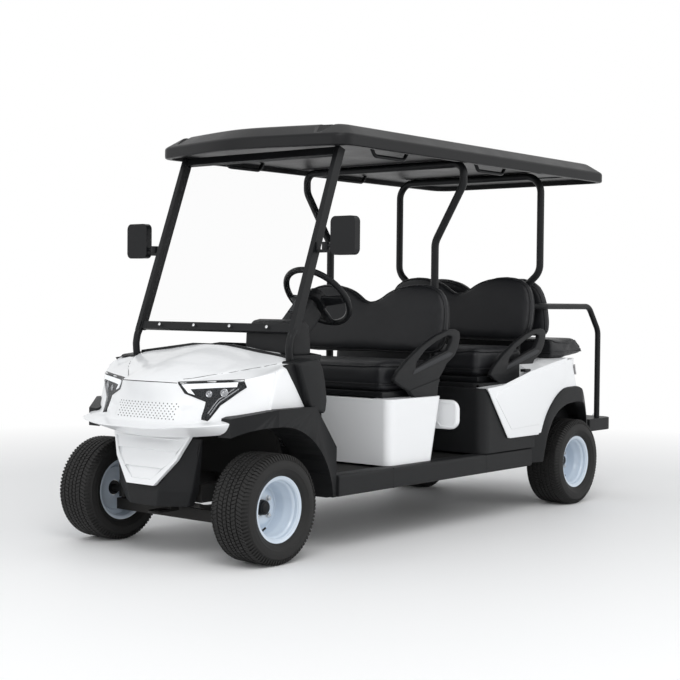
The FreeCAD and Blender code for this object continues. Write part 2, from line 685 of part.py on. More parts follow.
def build_tie_rod():
    """Rod between the arms; its right eye is the open pivot of the steering linkage."""
    x = s.front_axle_x - s.arm_length
    left = vector(x, KINGPIN_Y, TIE_ROD_Z)
    right = vector(x, -KINGPIN_Y, TIE_ROD_Z)
    shape = rod(right, left, s.tie_rod_radius)
    low = Z_AXIS * (s.tie_eye_height / 2)
    over = Z_AXIS * s.cut_over
    eyes = ((left, s.running_fit), (right, s.tie_eye_slack))
    for centre, slack in eyes:
        shape = shape.fuse(rod(centre - low, centre + low, s.tie_eye_radius))
    for centre, slack in eyes:
        shape = shape.cut(rod(centre - low - over, centre + low + over, s.arm_pin_radius + slack))
    feature("tie_rod", shape.removeSplitter())


def build_rear_axle():
    """Axle tube with drums, gear case, motor block and springs."""
    hub_end = s.rear_track / 2 + s.rim_width / 2 - s.dish_depth - s.rim_wall - s.hub_length
    centre = vector(REAR_AXLE_X, 0, AXLE_Z)
    inner = hub_end - s.drum_gap
    shape = rod(centre - Y_AXIS * inner, centre + Y_AXIS * inner, s.axle_tube_radius)
    tip = hub_end + s.hub_length + s.rim_wall + s.hub_cap_wall
    shape = shape.fuse(rod(centre - Y_AXIS * tip, centre + Y_AXIS * tip, s.spindle_radius))
    for sign in (1, -1):
        drum = rod(centre + Y_AXIS * (sign * (inner - s.drum_width)), centre + Y_AXIS * (sign * inner),
                   s.drum_radius)
        shape = shape.fuse(drum)
    case = rod(centre - Y_AXIS * (s.gearcase_width / 2), centre + Y_AXIS * (s.gearcase_width / 2),
               s.gearcase_radius)
    motor_centre = vector(REAR_AXLE_X - s.motor_back, 0, s.motor_height)
    near = motor_centre + Y_AXIS * (s.gearcase_width / 2 + s.seat_inset)
    motor = rod(near, near - Y_AXIS * (s.gearcase_width + s.motor_length), s.motor_radius)
    half = s.gearcase_width / 2 - s.seat_inset
    link = block(vector(REAR_AXLE_X - s.motor_back, -half, AXLE_Z - s.motor_radius / 2),
                 vector(REAR_AXLE_X, half, AXLE_Z + s.motor_radius / 2))
    shape = shape.fuse([case, motor, link])
    leaf = leaf_spring(REAR_AXLE_X, AXLE_Z + s.axle_tube_radius, s.rear_rail_bottom, s.rear_spring_length)
    shape = shape.fuse([leaf, mirrored(leaf)])
    feature("rear_axle", shape.removeSplitter())


MID_BOX_FRONT_X = ROW_TWO_X + s.mid_box_reach
MID_BOX_REAR_X = MID_BOX_FRONT_X - s.mid_box_depth


def frame_rails(rear, front, low, high):
    """Pair of frame rails between two places along the cart, with the gap between them."""
    inner = s.rail_place - s.rail_width / 2
    outer = s.rail_place + s.rail_width / 2
    rail = block(vector(rear, inner, low), vector(front, outer, high))
    return [rail, mirrored(rail)]


def build_frame():
    """Ladder frame under the floor, with cross members and a tow plate, and the raised rear
    rails that it meets behind the second bench."""
    front_end = s.front_axle_x + s.rail_front
    low_end = MID_BOX_REAR_X - s.rail_lap
    inner = s.rail_place - s.rail_width / 2
    outer = s.rail_place + s.rail_width / 2
    bars = frame_rails(low_end, front_end, s.rail_bottom, FLOOR_BOTTOM)
    reach = s.floor_half_width - s.panel_gap
    first = s.front_axle_x - s.arch_radius - s.liner_thickness - s.cross_width
    last = MID_BOX_REAR_X + s.cross_width
    for i in range(int(s.outrigger_count)):
        x = first + (last - first) * i / (s.outrigger_count - 1)
        bars.append(block(vector(x - s.cross_width / 2, -reach, s.rail_bottom),
                          vector(x + s.cross_width / 2, reach, FLOOR_BOTTOM)))
    bars.append(block(vector(front_end - s.cross_width, -outer, s.rail_bottom),
                      vector(front_end, outer, FLOOR_BOTTOM)))
    raised_end = low_end - s.panel_gap
    raised_start = FOOTREST_END_X + s.cross_width
    raised = frame_rails(raised_start, raised_end, s.rear_rail_bottom, s.rear_rail_top)
    for x in (raised_end - s.cross_width, raised_start):
        raised.append(block(vector(x, -inner - s.cut_over, s.rear_rail_bottom),
                            vector(x + s.cross_width, inner + s.cut_over, s.rear_rail_top)))
    feature("rear_frame", raised[0].fuse(raised[1:]).removeSplitter())
    plate_z = s.rail_bottom - s.tow_drop
    half = s.tow_plate_width / 2
    plate = block(vector(front_end - s.cross_width, -half, plate_z),
                  vector(front_end + s.tow_plate_length - half, half, plate_z + s.tow_plate_thickness))
    nose = Part.makeCylinder(half, s.tow_plate_thickness, vector(front_end + s.tow_plate_length - half, 0,
                                                                 plate_z))
    web = block(vector(front_end - s.cross_width, -half, plate_z),
                vector(front_end, half, s.rail_bottom + s.cut_over))
    shape = bars[0].fuse(bars[1:] + [plate, nose, web])
    hole = Part.makeCylinder(s.tow_hole_radius, s.tow_plate_thickness + 2 * s.cut_over,
                             vector(front_end + s.tow_plate_length - half, 0, plate_z - s.cut_over))
    feature("chassis_frame", shape.cut(hole).removeSplitter())


# Floor, sills and seat boxes

def build_floor():
    """Flat floor across the cart and a narrower sloping toe board between the wheel wells."""
    foot = s.front_axle_x - s.toe_foot
    head = s.front_axle_x - s.toe_head
    wide_end = s.front_axle_x - s.arch_radius - s.liner_thickness - s.panel_gap
    end = MID_BOX_REAR_X
    slope = math.hypot(foot - head, s.toe_height)
    across = s.floor_thickness * s.toe_height / slope
    toe = [(wide_end, FLOOR_BOTTOM), (foot + across, FLOOR_BOTTOM),
           (head + across, s.floor_top + s.toe_height),
           (head, s.floor_top + s.toe_height), (foot, s.floor_top), (wide_end, s.floor_top)]
    flat = [(end, FLOOR_BOTTOM), (wide_end, FLOOR_BOTTOM), (wide_end, s.floor_top), (end, s.floor_top)]
    item = body("floor_pan")
    plate = sketch(item, "floor_profile", "XZ_Plane")
    draw(plate, rounded_edges([vector(x, z, 0) for x, z in flat], 0))
    pad(item, "floor_plate", plate, "2 * (Sizes.floor_half_width - Sizes.panel_gap)", midplane=True)
    board = sketch(item, "toe_profile", "XZ_Plane")
    draw(board, rounded_edges([vector(x, z, 0) for x, z in toe], 0))
    pad(item, "toe_board", board, "2 * (Sizes.well_half_width - Sizes.panel_gap)", midplane=True)


FENDER_LEG_X = s.front_axle_x - s.fender_leg
SILL_REAR_X = REAR_AXLE_X + s.rear_flare_radius + s.panel_gap


def build_sills():
    inner = s.floor_half_width
    points = [vector(SILL_REAR_X, inner, s.sill_bottom), vector(SILL_REAR_X, inner, s.sill_top),
              vector(SILL_REAR_X, s.sill_half_width, s.sill_top),
              vector(SILL_REAR_X, s.sill_half_width, s.sill_bottom)]
    bar = prism(points, vector(FENDER_LEG_X - s.panel_gap - SILL_REAR_X, 0, 0),
                [0, 0, s.sill_round, s.sill_round])
    feature("sills", both_sides(bar))


def plan_wire(x_front, x_rear, half, z, radius):
    points = [vector(x_front, half, z), vector(x_rear, half, z), vector(x_rear, -half, z),
              vector(x_front, -half, z)]
    return outline(points, radius)


FRONT_BOX_FRONT_X = ROW_ONE_X + s.front_box_reach


def build_front_box():
    """White box under the first cushion, narrower at its foot, open below."""
    def shell(extra, top, bottom):
        lower = plan_wire(FRONT_BOX_FRONT_X - extra, FRONT_BOX_FRONT_X - s.front_box_waist + extra,
                          s.front_box_half_width - extra, bottom, s.box_round - extra)
        upper = plan_wire(FRONT_BOX_FRONT_X - extra, FRONT_BOX_FRONT_X - s.front_box_depth + extra,
                          s.front_box_half_width - extra, top, s.box_round - extra)
        return Part.makeLoft([lower, upper], True, True)
    outer = shell(0, s.front_box_top, s.sill_top + s.panel_gap)
    inner = shell(s.box_wall, s.front_box_top - s.box_wall, s.floor_top - s.cut_over)
    middle_x = FRONT_BOX_FRONT_X - s.front_box_waist / 2
    reach = s.battery_length / 2
    hatch = block(vector(middle_x - reach, -s.battery_width / 2,
                         s.front_box_top - s.box_wall - s.cut_over),
                  vector(middle_x + reach, s.battery_width / 2, s.front_box_top + s.cut_over))
    feature("front_seat_box", outer.cut(inner).cut(hatch))


def build_mid_box():
    """Black box under the second cushion, a padded-out body hollowed from below."""
    item = body("mid_seat_box")
    profile = sketch(item, "mid_box_plan", "XY_Plane", "Sizes.sill_top + Sizes.panel_gap")
    half = s.mid_box_half_width
    points = [vector(MID_BOX_FRONT_X, half, 0), vector(MID_BOX_REAR_X + s.panel_gap, half, 0),
              vector(MID_BOX_REAR_X + s.panel_gap, -half, 0), vector(MID_BOX_FRONT_X, -half, 0)]
    draw(profile, rounded_edges(points, [s.box_round, 0, 0, s.box_round]))
    pad(item, "mid_box_body", profile, "Sizes.mid_box_top - Sizes.sill_top - Sizes.panel_gap")
    document.recompute()
    hollow = sketch(item, "mid_box_hollow_plan", "XY_Plane", "Sizes.floor_top")
    wall = s.box_wall
    points = [vector(MID_BOX_FRONT_X - wall, half - wall, 0),
              vector(MID_BOX_REAR_X + wall, half - wall, 0),
              vector(MID_BOX_REAR_X + wall, wall - half, 0),
              vector(MID_BOX_FRONT_X - wall, wall - half, 0)]
    draw(hollow, rounded_edges(points, 0))
    pocket = item.newObject("PartDesign::Pocket", "mid_box_hollow")
    pocket.Profile = hollow
    pocket.Reversed = True
    pocket.setExpression("Length", "Sizes.mid_box_top - Sizes.floor_top - Sizes.box_wall")
    document.recompute()
    hatch = sketch(item, "mid_box_hatch_plan", "XY_Plane", "Sizes.mid_box_top")
    rim_width = s.hatch_rim
    near, far = MID_BOX_FRONT_X - rim_width, MID_BOX_REAR_X + rim_width
    side = half - rim_width
    points = [vector(near, side, 0), vector(far, side, 0), vector(far, -side, 0), vector(near, -side, 0)]
    draw(hatch, rounded_edges(points, s.box_round / 2))
    opening = item.newObject("PartDesign::Pocket", "mid_box_hatch")
    opening.Profile = hatch
    opening.setExpression("Length", "2 * Sizes.box_wall")


def build_battery():
    item = document.addObject("Part::Box", "battery_pack")
    bind(item, Length="Sizes.battery_length", Width="Sizes.battery_width", Height="Sizes.battery_height")
    middle_x = FRONT_BOX_FRONT_X - s.front_box_waist / 2
    item.Placement = FreeCAD.Placement(
        vector(middle_x - s.battery_length / 2, -s.battery_width / 2, s.floor_top + s.panel_gap),
        FreeCAD.Rotation())
    node(item, "battery_pack")


def build_guards():
    """Rounded scuff plates behind the first box, with a raised rim."""
    x = ROW_ONE_X - s.guard_place
    outer = s.guard_half_width
    inner = outer - s.guard_width
    low, high = s.guard_bottom, s.guard_bottom + s.guard_height
    points = [vector(x, inner, low), vector(x, outer, low), vector(x, outer, high), vector(x, inner, high)]
    plate = prism(points, vector(s.guard_thickness, 0, 0), [0, s.guard_height / 3, s.guard_height / 3, 0])
    stay_top = high - s.guard_height / 3
    box_share = (stay_top - s.sill_top) / (s.front_box_top - s.sill_top)
    box_rear = FRONT_BOX_FRONT_X - s.front_box_waist - (s.front_box_depth - s.front_box_waist) * box_share
    stay = block(vector(x + s.guard_thickness / 2, inner, low + s.guard_height / 3),
                 vector(box_rear - s.panel_gap, inner + s.guard_thickness, stay_top))
    feature("seat_box_guards", both_sides(plate.fuse(stay)))


# Seats

def cushion(label, front_x, rear_x, bottom, height):
    """Upholstered pad with rounded edges on its board."""
    item = body(label)
    item_low = bottom + s.cushion_base
    half = s.cushion_half_width
    points = [vector(front_x, half, 0), vector(rear_x, half, 0), vector(rear_x, -half, 0),
              vector(front_x, -half, 0)]
    plan = sketch(item, label + "_plan", "XY_Plane")
    plan.AttachmentOffset = FreeCAD.Placement(vector(0, 0, item_low), FreeCAD.Rotation())
    draw(plan, rounded_edges(points, s.cushion_round))
    block_pad = pad(item, label + "_pad", plan, "%s - Sizes.cushion_base" % height)
    document.recompute()
    edge_names = ["Edge%d" % (i + 1) for i, edge in enumerate(block_pad.Shape.Edges)
                  if edge.BoundBox.ZMin > item_low + s.cushion_base]
    fillet = item.newObject("PartDesign::Fillet", label + "_round")
    fillet.Base = (block_pad, edge_names)
    fillet.setExpression("Radius", "Sizes.cushion_top_round")
    document.recompute()
    board = sketch(item, label + "_board_plan", "XY_Plane")
    board.AttachmentOffset = FreeCAD.Placement(vector(0, 0, bottom), FreeCAD.Rotation())
    inset_x = s.cushion_base_inset if front_x > rear_x else -s.cushion_base_inset
    back = rear_x + inset_x
    points = [vector(front_x - inset_x, half - s.cushion_base_inset, 0),
              vector(back, half - s.cushion_base_inset, 0),
              vector(back, s.cushion_base_inset - half, 0),
              vector(front_x - inset_x, s.cushion_base_inset - half, 0)]
    draw(board, rounded_edges(points, 0))
    pad(item, label + "_board", board, "Sizes.cushion_base")
    return item


def backrest_place(foot_x, foot_z, direction):
    """Placement of a leaning backrest."""
    return FreeCAD.Placement(vector(foot_x, 0, foot_z), FreeCAD.Rotation(Y_AXIS, -direction * s.back_lean))


def backrest(label, half, place):
    """Twin-hump backrest padded from its front view and leaned back."""
    item = body(label)
    hump = s.back_hump_place * half / s.back_half_width
    corner = s.cushion_round
    shoulder, crest = s.back_shoulder_round, s.back_hump_round
    points = [vector(-half, 0, 0), vector(half, 0, 0), vector(half, s.back_side_height, 0),
              vector(hump, s.back_peak_height, 0), vector(0, s.back_valley_height, 0),
              vector(-hump, s.back_peak_height, 0), vector(-half, s.back_side_height, 0)]
    radii = [corner, corner, shoulder, crest, s.back_valley_round, crest, shoulder]
    front = sketch(item, label + "_front", "YZ_Plane")
    draw(front, rounded_edges(points, radii))
    slab = pad(item, label + "_pad", front, "Sizes.back_thickness", midplane=True)
    document.recompute()
    rim_edges = ["Edge%d" % (i + 1) for i, edge in enumerate(slab.Shape.Edges)
                 if edge.BoundBox.XLength < s.panel_gap]
    fillet = item.newObject("PartDesign::Fillet", label + "_round")
    fillet.Base = (slab, rim_edges)
    fillet.setExpression("Radius", "Sizes.back_round")
    item.Placement = place
    return item


FRONT_CUSHION_BOTTOM = s.front_box_top + s.panel_gap
MID_CUSHION_BOTTOM = s.mid_box_top + s.panel_gap
REAR_CUSHION_BOTTOM = s.rear_body_top + s.panel_gap
REAR_CUSHION_FRONT_X = REAR_AXLE_X - s.rear_cushion_reach
LEAN_DROP = s.back_thickness / 2 * math.sin(math.radians(s.back_lean)) + s.panel_gap
FRONT_BACK_PLACE = backrest_place(ROW_ONE_X - s.back_foot,
                                  FRONT_CUSHION_BOTTOM + s.front_cushion_height + s.back_gap, 1)
MID_BACK_PLACE = backrest_place(ROW_TWO_X - s.back_foot,
                                MID_CUSHION_BOTTOM + s.mid_cushion_height + s.back_gap, 1)
REAR_BACK_PLACE = backrest_place(REAR_AXLE_X + s.rear_back_foot,
                                 REAR_CUSHION_BOTTOM + s.rear_cushion_height + LEAN_DROP, -1)


def build_seats():
    cushion("front_cushion", ROW_ONE_X, ROW_ONE_X - s.cushion_depth, FRONT_CUSHION_BOTTOM,
            "Sizes.front_cushion_height")
    cushion("mid_cushion", ROW_TWO_X, ROW_TWO_X - s.cushion_depth, MID_CUSHION_BOTTOM,
            "Sizes.mid_cushion_height")
    cushion("rear_cushion", REAR_CUSHION_FRONT_X, REAR_CUSHION_FRONT_X + s.rear_cushion_depth,
            REAR_CUSHION_BOTTOM, "Sizes.rear_cushion_height")
    backrest("front_backrest", s.back_half_width, FRONT_BACK_PLACE)
    backrest("mid_backrest", s.back_half_width, MID_BACK_PLACE)
    backrest("rear_backrest", s.rear_back_half_width, REAR_BACK_PLACE)


def brackets(place, waist, reach, behind):
    """Plates that reach from a pair of posts to the back of a backrest."""
    near = behind * (s.back_thickness / 2 + s.panel_gap)
    far = near + behind * reach
    low, high = sorted((near, far))
    plate = block(vector(low, waist - s.bracket_width / 2, s.bracket_lift),
                  vector(high, waist + s.bracket_width / 2, s.bracket_lift + s.bracket_height))
    plate.Placement = place.multiply(plate.Placement)
    return [plate, mirrored(plate)]


# Armrest plate and its loop: shares of the reach behind the cushion's front edge and of the rise
ARM_REST_SHARES = ((0.130, 0.232, 0.06), (0.470, 0.760, 0.50), (0.961, 1.000, 0.07), (1.000, 0.897, 0.07),
                   (0.878, 0.539, 0.10), (0.645, 0.000, 0), (0.336, 0.000, 0.06))
ARM_LOOP_SHARES = ((0.362, 0.413, 0.03), (0.548, 0.694, 0.30), (0.905, 0.897, 0.03), (0.845, 0.581, 0.03))


def armrests(label, row_x, foot_z):
    """Moulded hip plates beside a bench, each with a loop to hold."""
    def plate(shares, half):
        pairs = [(row_x - a * s.arm_rest_reach, foot_z + b * s.arm_rest_rise) for a, b, _ in shares]
        radii = [r * s.arm_rest_reach for _, _, r in shares]
        return side_prism(pairs, s.arm_rest_place + half, s.arm_rest_place - half, radii)
    half = s.arm_rest_thickness / 2
    solid = plate(ARM_REST_SHARES, half).cut(plate(ARM_LOOP_SHARES, half + s.cut_over))
    feature(label, both_sides(solid))


# Roof and its frames

# How much wider than its corners the roof's bowed front edge is rounded
BOW_ROUND_SHARE = 8

def build_roof():
    """Shallow tray roof: side band, bevelled top with a raised panel, and a hollow below its rim."""
    front = s.front_axle_x - s.roof_front
    rear = REAR_AXLE_X - s.roof_tail
    half = s.roof_half_width

    def ring(edge, z):
        corner = max(s.roof_corner - edge / 3, s.roof_corner / 3)
        points = [vector(rear + edge, -half + edge, z), vector(front - edge, -half + edge, z),
                  vector(front - edge + s.roof_bow, 0, z),
                  vector(front - edge, half - edge, z), vector(rear + edge, half - edge, z)]
        return outline(points, [corner, corner, corner * BOW_ROUND_SHARE, corner, corner])
    band_top = s.roof_rim_z + s.roof_band
    top = s.roof_rim_z + s.roof_height
    crown_top = top - s.roof_panel_rise
    panel_edge = s.roof_chamfer + s.roof_panel_inset
    band = Part.makeLoft([ring(0, s.roof_rim_z), ring(0, band_top)], True, True)
    crown = Part.makeLoft([ring(0, band_top), ring(s.roof_chamfer, crown_top)], True, True)
    panel = Part.makeLoft([ring(panel_edge, crown_top - s.roof_panel_rise),
                           ring(panel_edge + s.roof_panel_rise, top)], True, True)
    hollow = Part.makeLoft([ring(s.roof_lip_width, s.roof_rim_z - s.cut_over),
                            ring(s.roof_lip_width, s.roof_rim_z + s.roof_lip)], True, True)
    feature("roof", band.fuse([crown, panel]).cut(hollow).removeSplitter())


ROOF_UNDER = s.roof_rim_z + s.roof_lip

# Upper bend of each roof frame, as a share of the way from its lower bend to the roof
MID_KNEE_SHARE = 0.7
REAR_KNEE_SHARE = 0.185


def roof_frame(x, wide, waist, neck, knee_share, feet):
    """Hoop under the roof with posts that draw in behind the backrest."""
    rail_z = ROOF_UNDER - s.panel_gap - s.roof_tube_radius
    knee = neck + (ROOF_UNDER - neck) * knee_share
    right = [vector(x, wide, rail_z), vector(x, wide, knee), vector(x, waist, neck)] + feet
    left = [vector(p.x, -p.y, p.z) for p in right]
    return tube(list(reversed(left)) + right, s.roof_tube_radius, s.roof_tube_bend)


REAR_FRAME_X = ROW_TWO_X - s.rear_frame_x


def build_roof_frames():
    """Two bent hoops that carry the roof and, on brackets, the backrests."""
    mid_x = ROW_ONE_X - s.mid_frame_x
    foot_z = s.front_box_top - s.box_wall - s.roof_tube_radius
    box_rear = FRONT_BOX_FRONT_X - s.front_box_depth
    feet = [vector(mid_x, s.mid_frame_waist, foot_z), vector(box_rear - s.panel_gap, s.mid_frame_waist,
                                                             foot_z)]
    hoop = roof_frame(mid_x, s.mid_frame_half_width, s.mid_frame_waist, s.mid_frame_neck, MID_KNEE_SHARE,
                      feet)
    reach = FRONT_BACK_PLACE.Base.x - s.back_thickness / 2 - mid_x
    feature("mid_roof_frame", hoop.fuse(brackets(FRONT_BACK_PLACE, s.mid_frame_waist, reach,
                                                 -1)).removeSplitter())
    feet = [vector(REAR_FRAME_X, s.rear_frame_waist, s.mid_box_top + s.panel_gap)]
    hoop = roof_frame(REAR_FRAME_X, s.rear_frame_half_width, s.rear_frame_waist, s.rear_frame_neck,
                      REAR_KNEE_SHARE, feet)
    front_reach = MID_BACK_PLACE.Base.x - s.back_thickness / 2 - REAR_FRAME_X
    back_reach = REAR_FRAME_X - REAR_BACK_PLACE.Base.x - s.back_thickness / 2
    plates = brackets(MID_BACK_PLACE, s.rear_frame_waist, front_reach, -1)
    plates += brackets(REAR_BACK_PLACE, s.rear_frame_waist, back_reach, 1)
    feature("rear_roof_frame", hoop.fuse(plates).removeSplitter())


RAKE = math.radians(s.screen_rake)
SCREEN_FOOT = vector(s.front_axle_x - s.screen_foot_x, 0, s.screen_foot_z)
SCREEN_UP = vector(-math.sin(RAKE), 0, math.cos(RAKE))
SCREEN_OUT = vector(math.cos(RAKE), 0, math.sin(RAKE))


def screen_point(z):
    """Middle plane of the screen at a height."""
    return SCREEN_FOOT + SCREEN_UP * ((z - s.screen_foot_z) / SCREEN_UP.z)


def screen_bar(low, high, near, far, depth):
    """Bar that lies in the screen's plane, between two heights along it and two places across."""
    a, b = screen_point(low), screen_point(high)
    back = SCREEN_OUT * (depth / 2)
    points = [a - back + Y_AXIS * near, a + back + Y_AXIS * near, b + back + Y_AXIS * near,
              b - back + Y_AXIS * near]
    return prism(points, Y_AXIS * (far - near))


def build_screen(cowl_tool):
    """Raked posts, lower crossbar and header round a clear pane."""
    half = s.screen_half_width
    out = half + s.post_width / 2
    inner = half - s.post_width / 2
    top = ROOF_UNDER - s.panel_gap - s.post_depth / 2
    low_bar = s.screen_bar_z - s.screen_bar_height / 2
    high_bar = s.screen_bar_z + s.screen_bar_height / 2
    post = screen_bar(s.post_foot_z, top, inner, out, s.post_depth).cut(cowl_tool)
    shape = post.fuse([mirrored(post), screen_bar(low_bar, high_bar, -half, half, s.post_width),
                       screen_bar(top - s.screen_bar_height, top, -half, half, s.post_width)])
    feature("windshield_frame", shape.removeSplitter())
    edge = inner - s.pane_inset
    pane = screen_bar(high_bar + s.pane_inset, top - s.screen_bar_height - s.pane_inset, -edge, edge,
                      s.pane_thickness)
    feature("windshield", pane)


# Front body

COWL_REAR_X = s.front_axle_x + s.front_overhang - s.cowl_length

# Cowl stations: share of the half width, then shares of the length and height round the section,
# from the rear foot over bumper, lip, recess and hood to the rear seam
COWL_STATION_SHARES = (
    (0.000, ((0.04, 0.35), (0.78, 0.00), (1.00, 0.13), (0.80, 0.17), (0.78, 0.39), (0.89, 0.63),
             (0.49, 0.84), (0.11, 1.00))),
    (0.231, ((0.04, 0.35), (0.77, 0.01), (1.00, 0.13), (0.80, 0.17), (0.77, 0.39), (0.80, 0.62),
             (0.45, 0.83), (0.07, 0.99))),
    (0.385, ((0.04, 0.35), (0.74, 0.02), (0.99, 0.14), (0.79, 0.17), (0.73, 0.39), (0.71, 0.61),
             (0.41, 0.81), (0.03, 0.98))),
    (0.538, ((0.04, 0.35), (0.70, 0.04), (0.95, 0.16), (0.74, 0.19), (0.67, 0.39), (0.64, 0.63),
             (0.37, 0.80), (0.01, 0.96))),
    (0.673, ((0.04, 0.35), (0.67, 0.06), (0.87, 0.17), (0.67, 0.22), (0.61, 0.40), (0.59, 0.64),
             (0.34, 0.78), (0.02, 0.94))),
    (0.788, ((0.04, 0.35), (0.64, 0.08), (0.72, 0.19), (0.60, 0.24), (0.55, 0.42), (0.54, 0.65),
             (0.32, 0.77), (0.06, 0.90))),
    (0.885, ((0.04, 0.34), (0.56, 0.13), (0.58, 0.22), (0.52, 0.26), (0.48, 0.44), (0.45, 0.69),
             (0.30, 0.76), (0.12, 0.85))),
    (0.962, ((0.03, 0.33), (0.46, 0.24), (0.47, 0.28), (0.44, 0.31), (0.41, 0.48), (0.35, 0.73),
             (0.29, 0.78), (0.20, 0.81))),
    (1.000, ((0.03, 0.32), (0.38, 0.33), (0.39, 0.35), (0.38, 0.37), (0.36, 0.52), (0.32, 0.76),
             (0.30, 0.78), (0.29, 0.80))),
)


def cowl_sections(wall, shift, edge, open_reach):
    """Sections across the cowl, moved inwards by a wall and forward by a shift; its foot and
    rear seam, which stay open, move outwards by the open reach."""
    right = []
    for width_share, shares in COWL_STATION_SHARES:
        pairs = [(COWL_REAR_X + shift + a * s.cowl_length, s.cowl_bottom + b * s.cowl_height) for a,
                 b in shares]
        if wall:
            distances = [-open_reach] + [wall] * (len(pairs) - 2) + [-open_reach]
            pairs = inset(pairs, distances)
        y = width_share * (s.cowl_half_width - edge)
        right.append((y, pairs))
    left = [(-y, pairs) for y, pairs in reversed(right[1:])]
    return [outline([vector(x, y, z) for x, z in pairs]) for y, pairs in left + right]


def cowl_solid(wall, shift, edge, open_reach):
    """Smooth solid through the cowl's sections."""
    return Part.makeLoft(cowl_sections(wall, shift, edge, open_reach), True, False)


def build_cowl():
    """White hood, bumper and shoulders as one shell with a smooth skin, open below and behind."""
    outer = cowl_solid(0, 0, 0, 0)
    inner = cowl_solid(s.panel_wall, 0, s.panel_wall, s.cut_over)
    shape = outer.cut(inner)
    feature("front_cowl", Part.makeCompound([shape, build_shield()]))


# Steps across the lower shield, and how deep each starts beside how deep it ends
SHIELD_STEPS = 3
SHIELD_STEP_SHARE = 0.2


def shield_plan(border, front, rear):
    """Tapering front view of the shield, less a border, pushed between two places along the cart."""
    top, low = s.shield_bottom + s.shield_height, s.shield_bottom
    wide, narrow = s.shield_top_half_width - border, s.shield_bottom_half_width - border
    waist = (wide + narrow) / 2 + s.shield_thickness
    right = [(-wide, top - border), (-waist, (top + low) / 2), (-narrow, low + border)]
    pairs = right + [(-y, z) for y, z in reversed(right)]
    return prism([vector(rear, y, z) for y, z in pairs], vector(front - rear, 0, 0))


def build_shield():
    """Lower shield under the bumper: a tapering plate with a raised border round three steps."""
    low = s.shield_bottom
    back_top, back_low = s.front_axle_x + s.shield_back_top, s.front_axle_x + s.shield_back_bottom

    def face(share, depth):
        return (back_low + (back_top - back_low) * share - depth, low + s.shield_height * share)
    depth = s.shield_thickness
    slab = side_prism([face(0, 0), face(1, 0), face(1, depth), face(0, depth)], s.cowl_half_width,
                      -s.cowl_half_width)
    solid = slab.common(shield_plan(0, back_low + depth, back_top - 2 * depth))
    inner = shield_plan(s.shield_border, back_low + depth, back_top - 2 * depth)
    for i in range(SHIELD_STEPS):
        under, over = i / SHIELD_STEPS, (i + 1) / SHIELD_STEPS
        step = [face(under, -s.cut_over), face(over, -s.cut_over), face(over, s.shield_step),
                face(under, s.shield_step * SHIELD_STEP_SHARE)]
        solid = solid.cut(side_prism(step, s.cowl_half_width, -s.cowl_half_width).common(inner))
    return solid


# Headlamp outline on the cowl's face: shares of the half width and of the height above the bumper
LAMP_SHARES = ((0.325, 0.612), (0.808, 0.654), (0.831, 0.570), (0.663, 0.386), (0.612, 0.220),
               (0.562, 0.234),
               (0.558, 0.420), (0.385, 0.504))


def build_headlamps(cowl_tool):
    """Lamp lenses that follow the cowl's face and stand a little proud of it."""
    ahead = cowl_solid(0, s.lamp_proud, 0, 0)
    skin = ahead.cut(cowl_tool)
    x = s.front_axle_x
    points = [vector(x, a * s.cowl_half_width, s.cowl_bottom + b * s.cowl_height) for a, b in LAMP_SHARES]
    window = prism(points, vector(s.front_overhang, 0, 0))
    lens = skin.common(window)
    feature("headlamps", both_sides(lens))


def tray_solid(wall, reach):
    """Under-cover between three levels, moved inwards by a wall; its top and rear, which stay
    open, move outwards by a reach."""
    x = s.front_axle_x
    slope = (s.shield_back_bottom - s.shield_back_top) / s.shield_height
    back = s.shield_thickness + s.panel_gap + wall

    def level(z, tuck, nose, corner, half, rear):
        ahead = x + s.shield_back_top + slope * (s.shield_bottom + s.shield_height - z) - back - tuck
        right = [vector(rear - reach, half - wall, z), vector(ahead - corner, half - wall, z),
                 vector(ahead, nose, z)]
        left = [vector(p.x, -p.y, p.z) for p in reversed(right)]
        return outline(right + left, [0, s.tray_round, s.tray_round, s.tray_round, s.tray_round, 0])
    low = level(s.tray_bottom + wall, s.tray_tuck, s.tray_nose - s.tray_round, s.tray_corner, s.tray_half_width,
                x + s.tray_rear)
    lip = level(s.tray_lip, 0, s.tray_nose, s.tray_corner, s.tray_lip_half_width, x + s.tray_rear)
    top = level(s.cowl_bottom - s.panel_gap + reach, 0, s.tray_top_nose, s.tray_top_corner,
                s.tray_top_half_width, x + s.tray_back_top)
    return Part.makeLoft([low, lip, top], True, True)


def build_tray():
    """Black under-cover: a hollow cup with drawn-back corners that carries the shield on its face."""
    feature("front_undertray", tray_solid(0, 0).cut(tray_solid(s.tray_wall, s.cut_over)))


def arch(radius, x, inner, outer, z):
    return Part.makeCylinder(radius, outer - inner, vector(x, inner, z), Y_AXIS)


# Where the flare's top ends along its rear leg, and how high the leg's rear edge starts
FENDER_KNEE_SHARE = 0.62
FENDER_LEG_SHARE = 0.72


